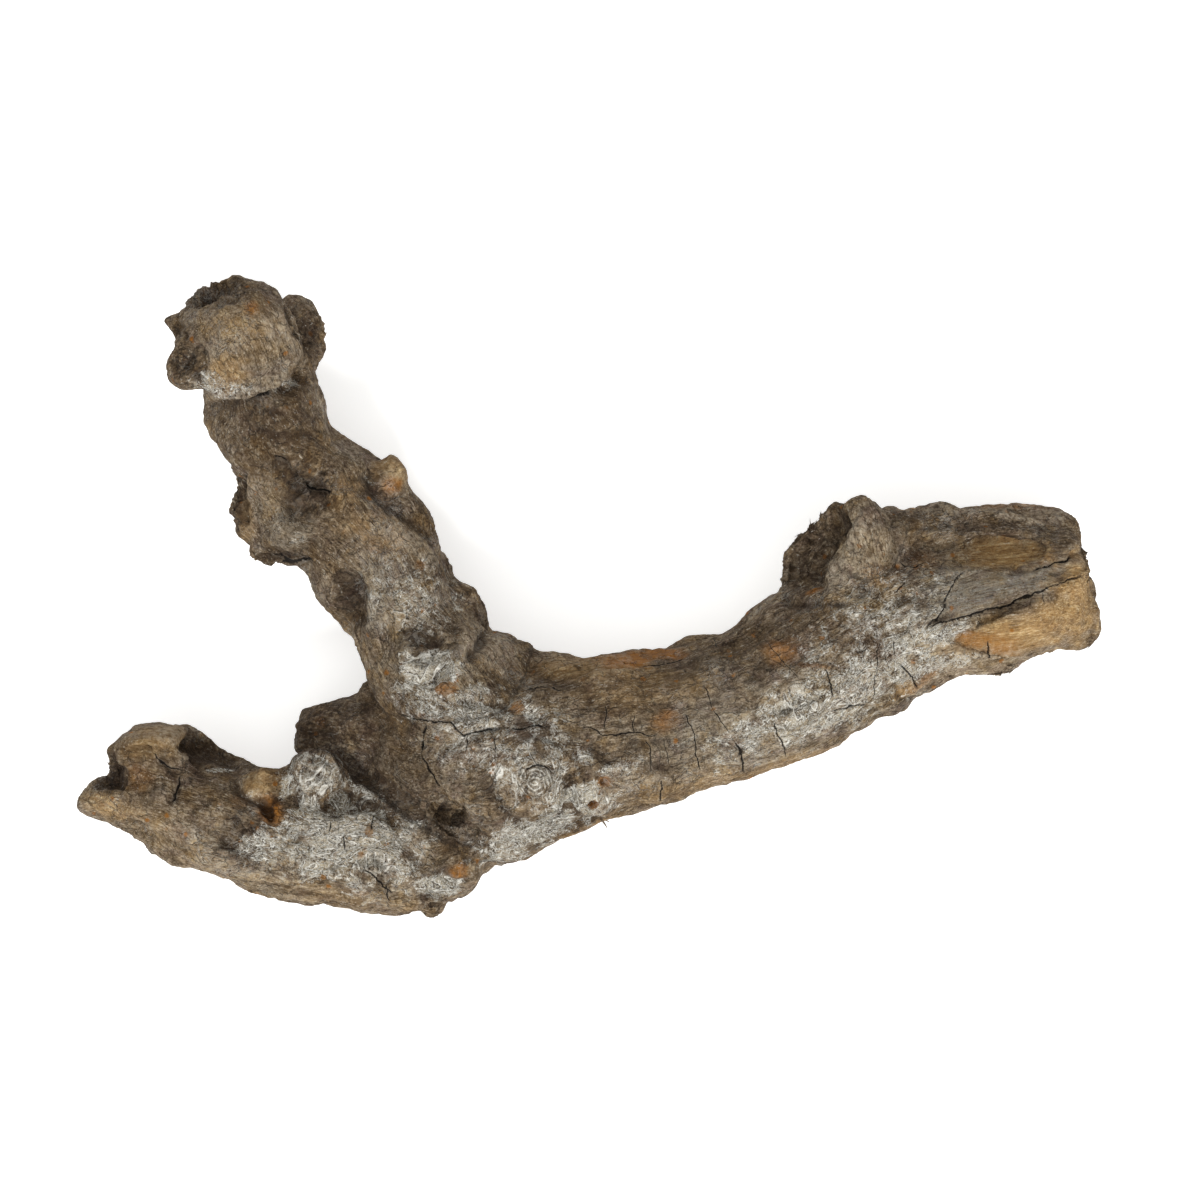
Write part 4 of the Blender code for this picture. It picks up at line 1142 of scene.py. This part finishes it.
# Crazing: the skin breaks into small fields, longer along the grain than across it.
craze_shift = add(tree, "ShaderNodeTexNoise", {"Vector": body, "Scale": 1 / (2.2 * MM), "Detail": 3.0})
craze_place = add(tree, "ShaderNodeVectorMath", {
    0: known["grain"], 1: [1 / (9 * MM), 1 / (4.5 * MM), 1 / (4.5 * MM)],
}, operation="MULTIPLY")
craze_bent = add(tree, "ShaderNodeVectorMath", {
    0: craze_shift.outputs["Color"], 1: (0.6, 0.6, 0.6), 2: craze_place.outputs[0],
}, operation="MULTIPLY_ADD")
craze = add(tree, "ShaderNodeTexVoronoi", {
    "Vector": craze_bent.outputs[0], "Scale": 1.0,
}, feature="DISTANCE_TO_EDGE")
craze_line = calc(
    "MULTIPLY", between(craze.outputs["Distance"], 0.01, 0.055, 1.0, 0.0), between(mottle, 0.44, 0.56),
)
craze_line = calc("MULTIPLY", craze_line, between(known["planed"], 0.0, 1.0, 1.0, 0.25))
print("nodes after the flakes:", len(tree.nodes))

# %% [markdown]
# ## Skin and bare wood
# The brown-grey skin is lighter and darker by blotches, streaked by fibres and grainy by crumbs.
# Where it has come off, tan and rust-coloured wood shows. Each colour is a coat over the last.

# %% Skin and bare wood
# Weather has worn the fibres smooth in some places and left them proud in others.
combed = between(field(body, (15, 15, 15), 3.0, 0.6), 0.4, 0.62, 0.25, 1.0)
streaks = calc("MULTIPLY", calc("SUBTRACT", fibres, 0.5), combed)
tone = blend(
    (streaks, 1.5), (broad_fibres, 0.5), (blotches, 0.6), (mottle, 0.8), (specks, 0.6), (crumbs, 0.7),
)
brown_skin = shades(
    between(tone, 1.2, 1.98), (0.0, WOOD["skin_deep"]), (0.3, WOOD["skin_dark"]),
    (0.6, WOOD["skin_mid"]), (1.0, WOOD["skin_light"]),
)
sunned = shades(
    between(tone, 1.2, 1.98), (0.0, WOOD["skin_dark"]), (0.25, WOOD["pale_dark"]),
    (0.55, WOOD["pale_mid"]), (1.0, WOOD["pale_light"]),
)
colour = layer(brown_skin, sunned, calc("MULTIPLY", known["pale"], 0.9))
# Umber brown, which in places is painted shade on upper sides and in shadow.
colour = layer(
    colour, WOOD["umber_and_shade"], calc("MULTIPLY", known["umber_and_shade"], between(crumbs, 0.35, 0.62, 0.85, 0.25)),
)
colour = layer(colour, WOOD["ash"], calc("MULTIPLY", known["ash"], between(fibres, 0.38, 0.6, 0.05, 0.95)))
# The tint drifts from mauve-grey through neutral to ochre.
tint = shades(hues, (0.33, "#cdbfc0"), (0.5, "#f6f1e9"), (0.68, "#ead3a4"))
colour = layer(colour, tint, 0.85, "MULTIPLY")

# Tan wood that lost its skin last, with clear streaks.
bare_tone = blend((fibres, 1.1), (broad_fibres, 0.6), (crumbs, 0.45))
tan = shades(
    between(bare_tone, 0.8, 1.38), (0.0, WOOD["bare_dark"]), (0.5, WOOD["bare_mid"]),
    (1.0, WOOD["bare_light"]),
)
colour = layer(colour, tan, calc("MULTIPLY", known["bare"], between(mottle, 0.35, 0.55, 0.55, 1.0)))
colour = layer(colour, WOOD["rust"], calc("MULTIPLY", known["rust"], between(mottle, 0.4, 0.56, 0.5, 1.0)))
# Rust-red specks of sapwood, about 1 mm wide, lie scattered.
dots = add(tree, "ShaderNodeTexVoronoi", {"Vector": body, "Scale": 1 / (8 * MM)})
dot_kind = add(tree, "ShaderNodeSeparateColor", {0: dots.outputs["Color"]}).outputs[0]
dot_gap = calc("ADD", dots.outputs["Distance"], calc("MULTIPLY", crumbs, 0.25))
dot_share = calc("MULTIPLY", between(dot_gap, 0.22, 0.3, 0.8, 0.0), between(dot_kind, 0.6, 0.66))
colour = layer(colour, WOOD["rust"], dot_share)
print("nodes after the bare wood:", len(tree.nodes))

# %% [markdown]
# ## Painted shade, crust and cracks
# Rot and painted shade go in the marked places, painted shade in what lies low, and painted light
# on edges that stand up. The crust comes over them. Cracks come last, with painted shade in them,
# because nothing covers them.

# %% Painted shade, crust and cracks
# Rot, and painted shade in the shadowed places marked with it.
rot_and_shade_share = calc("MULTIPLY", known["rot_and_shade"], between(crumbs, 0.38, 0.62, 0.9, 0.2))
colour = layer(colour, WOOD["rot_and_shade"], rot_and_shade_share)
# Painted shade: the wood is darkened where its relief lies low, in creases and hollows, less on the planed
# panels.
low = between(known["relief"], -2.8 * MM, -0.6 * MM, 0.62, 0.0)
low = calc("MULTIPLY", low, between(known["planed"], 0.0, 1.0, 1.0, 0.3))
colour = layer(colour, WOOD["rot_and_shade"], low)
# Painted light: where the relief stands high the wood is lightened, as on lit raised edges.
raised_painted_light = calc(
    "MULTIPLY", between(known["relief"], 0.4 * MM, 1.8 * MM), between(crumbs, 0.4, 0.6, 0.08, 0.4),
)
colour = layer(colour, WOOD["skin_light"], raised_painted_light)
# Painted shade in the fine crazing cracks.
colour = layer(colour, WOOD["crack"], calc("MULTIPLY", craze_line, 0.55))
# Painted shade in the gaps under the flakes.
colour = layer(colour, WOOD["rot_and_shade"], calc("MULTIPLY", flake_gap_shade, flaky, between(specks, 0.4, 0.55, 0.3, 0.75)))

# Pale crust: a thin grey film, then threads along the lips of the flakes and round the knots. It
# doesn't hold on the rust-coloured sapwood.
known["crust"] = calc("MULTIPLY", known["crust"], between(known["rust"], 0.25, 0.7, 1.0, 0.0))
film = between(blend((known["crust"], 1.0), (crumbs, 0.9), (mottle, 1.7)), 1.6, 2.35)
film = calc("MULTIPLY", film, between(known["crust"], 0.02, 0.3), 0.75)
colour = layer(colour, WOOD["film"], film)
crust_gaps = calc(
    "MULTIPLY", known["crust"], between(blend((crumbs, 0.6), (specks, 0.4)), 0.38, 0.44, 0.85, 0.0),
)
colour = layer(colour, WOOD["skin_deep"], crust_gaps)
# More painted shade under the flakes, on the crust.
colour = layer(colour, WOOD["rot_and_shade"], calc("MULTIPLY", flake_gap_shade, known["crust"], 0.7))
curls = veins(field(body, (4.2, 4.2, 4.2), 3.0, 0.6, 2.2), 0.04)
ring_phase = calc("FRACT", blend((known["ring_gap"], 0.55), (mottle, 1.0)))
ring_line = calc(
    "MULTIPLY", veins(ring_phase, 0.2), known["ring"], between(crumbs, 0.38, 0.52),
    between(mottle, 0.36, 0.5),
)
threads = calc("MAXIMUM", lip, calc("MULTIPLY", curls, 0.8))
threads = calc("MULTIPLY", threads, between(known["ring"], 0.0, 1.0, 1.0, 0.35))
threads = calc("MAXIMUM", threads, ring_line)
ring_gap_line = calc(
    "MULTIPLY", between(calc("ABSOLUTE", calc("SUBTRACT", ring_phase, 0.5)), 0.36, 0.46), known["ring"],
)
ring_gap_line = calc("MULTIPLY", ring_gap_line, between(crumbs, 0.4, 0.55))
colour = layer(colour, WOOD["rot_and_shade"], calc("MULTIPLY", ring_gap_line, 0.6))
spread = between(blend((known["crust"], 1.0), (specks, 0.7), (mottle, 1.4)), 1.3, 1.6)
crust_share = calc("MULTIPLY", threads, spread, between(known["crust"], 0.02, 0.2), 0.95)
# Outside the patches only a few bleached threads and fibres show.
bleached = calc("MULTIPLY", between(fibres, 0.58, 0.68), between(specks, 0.48, 0.6), 0.5)
stray = calc("MULTIPLY", threads, between(blotches, 0.46, 0.6), flaky, 0.3)
crust_share = calc("MAXIMUM", crust_share, calc("MAXIMUM", stray, bleached))
colour = layer(colour, WOOD["crust"], crust_share)

# Cracks get painted shade, darkest of all. Noise frays their edges; their lips get a painted highlight.
fray = calc("MULTIPLY", calc("SUBTRACT", field(body, (1.3, 1.3, 1.3), 3.0, 0.7), 0.5), 4.0)
crack_share = 0.0
crack_lip_highlight = 0.0
for family in ("long_crack", "cross_crack"):
    gap = calc("ABSOLUTE", calc("ADD", known[family], fray))
    shown = between(known[family + "_open"], 0.1, 0.6)
    crack_share = calc("MAXIMUM", crack_share, calc("MULTIPLY", between(gap, 0.7, 1.35, 1.0, 0.0), shown))
    crack_lip_highlight = calc("MAXIMUM", crack_lip_highlight, calc("MULTIPLY", veins(gap, 1.0, 2.2), shown))
# Painted highlight along the crack lips.
colour = layer(colour, WOOD["skin_light"], calc("MULTIPLY", crack_lip_highlight, 0.12))
colour = layer(colour, WOOD["crack"], calc("MULTIPLY", crack_share, 0.92))
tree.links.new(colour, shader.inputs["Base Color"])
print("nodes after the cracks:", len(tree.nodes))

# %% [markdown]
# ## Fine relief
# Some relief is finer than the net can hold: fibres, crumbs, flakes and the cracks' sharp edges.
# A bump gives the light something to catch there.

# %% Fine relief
grit = blend(
    (streaks, 0.9), (specks, 0.4), (crumbs, 1.0), (mottle, 1.0), (threads, 0.18), (crust_gaps, -0.4),
    (craze_line, -0.6), (crack_share, -1.2),
    (calc("MULTIPLY", shingle, flaky), 0.7), (ring_gap_line, -0.4),
)
bump = add(tree, "ShaderNodeBump", {"Height": grit, "Strength": 1.0, "Distance": 1.0 * MM})
tree.links.new(bump.outputs[0], shader.inputs["Normal"])
print("finish:", len(tree.nodes), "nodes")

# %% [markdown]
# ## Carve, then thin out
# The tree runs once and its result becomes a plain mesh. A Decimate modifier then removes points
# where the surface is nearly flat, and leaves them in cracks and on edges, where they count.

# %% Carve
TRIANGLES = 196000
carve = blank.modifiers.new("weathered_relief", "NODES")
carve.node_group = relief
sockets = {item.name: item.identifier for item in relief.interface.items_tree if item.in_out == "INPUT"}
for title, value in RELIEF_SIZES.items():
    carve[sockets[title]] = value
carve[sockets["Seed"]] = 4.0
carve[sockets["Wood"]] = finish
fine.calc_loop_triangles()
thin = blank.modifiers.new("thin_out", "DECIMATE")
thin.ratio = min(1.0, TRIANGLES / len(fine.loop_triangles))
thin.use_collapse_triangulate = True
surface = plain_mesh(blank)
blank.modifiers.clear()
blank.data = surface
surface.shade_smooth()
if not surface.materials:
    surface.materials.append(finish)
surface.calc_loop_triangles()
print("driftwood_surface:", len(surface.loop_triangles), "triangles")

# %% [markdown]
# ## Torn fibres
# Where a limb broke, the wood ends in loose fibres and splinters. Each is a thin closed cone that
# lies along the grain and lifts a little at its tip. Geometry Nodes strew them over the surface,
# densest in the torn places. They carry the surface's stored values with them, so one finish
# colours both.

# %% Strewn fibres
strewn = bpy.data.node_groups.new("torn_fibres", "GeometryNodeTree")
strewn.interface.new_socket("Geometry", in_out="INPUT", socket_type="NodeSocketGeometry")
strewn.interface.new_socket("Geometry", in_out="OUTPUT", socket_type="NodeSocketGeometry")
FIBRE_SIZES = {
    "Fibre length": 3.2 * MM,
    "Fibre radius": 0.3 * MM,
    "Fibres per square metre": 120000.0,
    "Lift": 0.06,
    "Stray": 0.16,
}
for title in FIBRE_SIZES:
    strewn.interface.new_socket(title, in_out="INPUT", socket_type="NodeSocketFloat")
strewn.interface.new_socket("Seed", in_out="INPUT", socket_type="NodeSocketInt")
strewn.interface.new_socket("Wood", in_out="INPUT", socket_type="NodeSocketMaterial")
start = add(strewn, "NodeGroupInput").outputs
share = add(strewn, "GeometryNodeInputNamedAttribute", {"Name": "torn"}, data_type="FLOAT").outputs[0]
sharper = add(strewn, "ShaderNodeMath", {0: share, 1: 2.0}, operation="POWER")
density = add(strewn, "ShaderNodeMath", {
    0: sharper.outputs[0], 1: start["Fibres per square metre"],
}, operation="MULTIPLY")
# None grow where the grain runs straight into the surface, as on a cut end.
outward = add(strewn, "GeometryNodeInputNormal").outputs[0]
run = add(strewn, "GeometryNodeInputNamedAttribute", {"Name": "course"}, data_type="FLOAT_VECTOR").outputs[0]
into = add(strewn, "ShaderNodeVectorMath", {0: run, 1: outward}, operation="DOT_PRODUCT")
into = add(strewn, "ShaderNodeMath", {0: into.outputs["Value"]}, operation="ABSOLUTE")
level = add(strewn, "ShaderNodeMapRange", {
    "Value": into.outputs[0], "From Min": 0.6, "From Max": 0.85, "To Min": 1.0, "To Max": 0.0,
})
density = add(strewn, "ShaderNodeMath", {0: density.outputs[0], 1: level.outputs[0]}, operation="MULTIPLY")
roots = add(strewn, "GeometryNodeDistributePointsOnFaces", {
    "Mesh": start["Geometry"], "Density": density.outputs[0], "Seed": start["Seed"],
}, distribute_method="RANDOM")
# The part of the grain direction that points out of the wood is taken away: fibres lie on it.
out_share = add(strewn, "ShaderNodeVectorMath", {0: run, 1: roots.outputs["Normal"]}, operation="DOT_PRODUCT")
lift = add(strewn, "ShaderNodeMath", {0: start["Lift"], 1: out_share.outputs["Value"]}, operation="SUBTRACT")
lifted = add(strewn, "ShaderNodeVectorMath", {
    0: roots.outputs["Normal"], "Scale": lift.outputs[0],
}, operation="SCALE")
drift = add(strewn, "FunctionNodeRandomValue", {
    0: (-1, -1, -1), 1: (1, 1, 1), "ID": add(strewn, "GeometryNodeInputIndex").outputs[0],
    "Seed": start["Seed"],
}, data_type="FLOAT_VECTOR").outputs[0]
drift = add(strewn, "ShaderNodeVectorMath", {0: drift, "Scale": start["Stray"]}, operation="SCALE").outputs[0]
heading = add(strewn, "ShaderNodeVectorMath", {0: run, 1: lifted.outputs[0]}, operation="ADD").outputs[0]
heading = add(strewn, "ShaderNodeVectorMath", {0: heading, 1: drift}, operation="ADD").outputs[0]
turned = add(strewn, "FunctionNodeAlignRotationToVector", {"Vector": heading}, axis="Z")
cone = add(strewn, "GeometryNodeMeshCone", {
    "Vertices": 5, "Side Segments": 2, "Radius Top": 0.05 * MM, "Radius Bottom": start["Fibre radius"],
    "Depth": start["Fibre length"],
}, fill_type="NGON")
length_share = add(strewn, "FunctionNodeRandomValue", {
    2: 0.35, 3: 1.2, "Seed": start["Seed"],
}, data_type="FLOAT").outputs[1]
scale = add(strewn, "ShaderNodeCombineXYZ", {0: 1.0, 1: 1.0, 2: length_share})
set_out = add(strewn, "GeometryNodeInstanceOnPoints", {
    "Points": roots.outputs["Points"], "Instance": cone.outputs["Mesh"], "Rotation": turned.outputs[0],
    "Scale": scale.outputs[0],
})
real = add(strewn, "GeometryNodeRealizeInstances", {"Geometry": set_out.outputs[0]})
dressed = add(strewn, "GeometryNodeSetMaterial", {"Geometry": real.outputs[0], "Material": start["Wood"]})
add(strewn, "NodeGroupOutput", {"Geometry": dressed.outputs[0]})

fibres_object = bpy.data.objects.new("torn_fibres", surface.copy())
scene.collection.objects.link(fibres_object)
strew = fibres_object.modifiers.new("torn_fibres", "NODES")
strew.node_group = strewn
sockets = {item.name: item.identifier for item in strewn.interface.items_tree if item.in_out == "INPUT"}
for title, value in FIBRE_SIZES.items():
    strew[sockets[title]] = value
strew[sockets["Seed"]] = 7
strew[sockets["Wood"]] = finish
fibre_mesh = plain_mesh(fibres_object)
fibres_object.modifiers.clear()
fibres_object.data = fibre_mesh
print("strewn fibres:", len(fibre_mesh.polygons), "faces")

# %% [markdown]
# ## The twig
# The photograph shows one small twig under the trunk. It is too particular to be strewn, so its two
# slivers are built one by one as rings that narrow to a tip, and they join the fibres' mesh.

# %% Twig
# Each sliver: pixel of the root, heading in degrees from +X, rise, length and radius there in mm.
SPLINTERS = ((601, 820, -50, 0.0, 4.6, 0.55), (604, 822, -20, 0.1, 3.2, 0.4))
SIDES = 6
BOW = 0.35  # how far a sliver bows sideways, in mm
# The taper of a sliver: share of its length, starting inside the wood, and share of its radius.
TAPER = ((-0.15, 1.0), (0.2, 0.9), (0.55, 0.65), (0.85, 0.4), (1.0, 0.12))
hand = bmesh.new()
hand.from_mesh(fibre_mesh)
for px, py, heading, rise, length, radius in SPLINTERS:
    root = Vector(spot(px, py))
    way = Vector((math.cos(math.radians(heading)), math.sin(math.radians(heading)), rise)).normalized()
    side = way.orthogonal().normalized()
    other = way.cross(side)
    rings = []
    for t, width in TAPER:
        bend = side * math.sin(t * 3 + px) * BOW
        centre = root + (way * t * length + bend) * MM
        turns = [2 * math.pi * k / SIDES for k in range(SIDES)]
        around = [side * math.cos(turn) + other * math.sin(turn) for turn in turns]
        rings.append([hand.verts.new(centre + spoke * radius * width * MM) for spoke in around])
    for low_ring, high_ring in zip(rings[:-1], rings[1:]):
        for k in range(SIDES):
            hand.faces.new((low_ring[k], low_ring[(k + 1) % SIDES], high_ring[(k + 1) % SIDES], high_ring[k]))
    hand.faces.new(rings[0][::-1])
    hand.faces.new(rings[-1])
hand.to_mesh(fibre_mesh)
hand.free()
# The mesh comes out of the tree with an empty first slot, which would leave the twig unpainted.
fibre_mesh.materials.clear()
fibre_mesh.materials.append(finish)
fibre_mesh.polygons.foreach_set("material_index", np.zeros(len(fibre_mesh.polygons), np.int32))
fibre_mesh.shade_smooth()
fibre_mesh.calc_loop_triangles()
print("torn_fibres:", len(fibre_mesh.loop_triangles), "triangles")

# %% [markdown]
# ## Hand over
# The new skin stands for the solid node and moves with it. The fibres ride along.

# %% Finish
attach(blank, "root")
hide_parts("driftwood")
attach(fibres_object, "root")
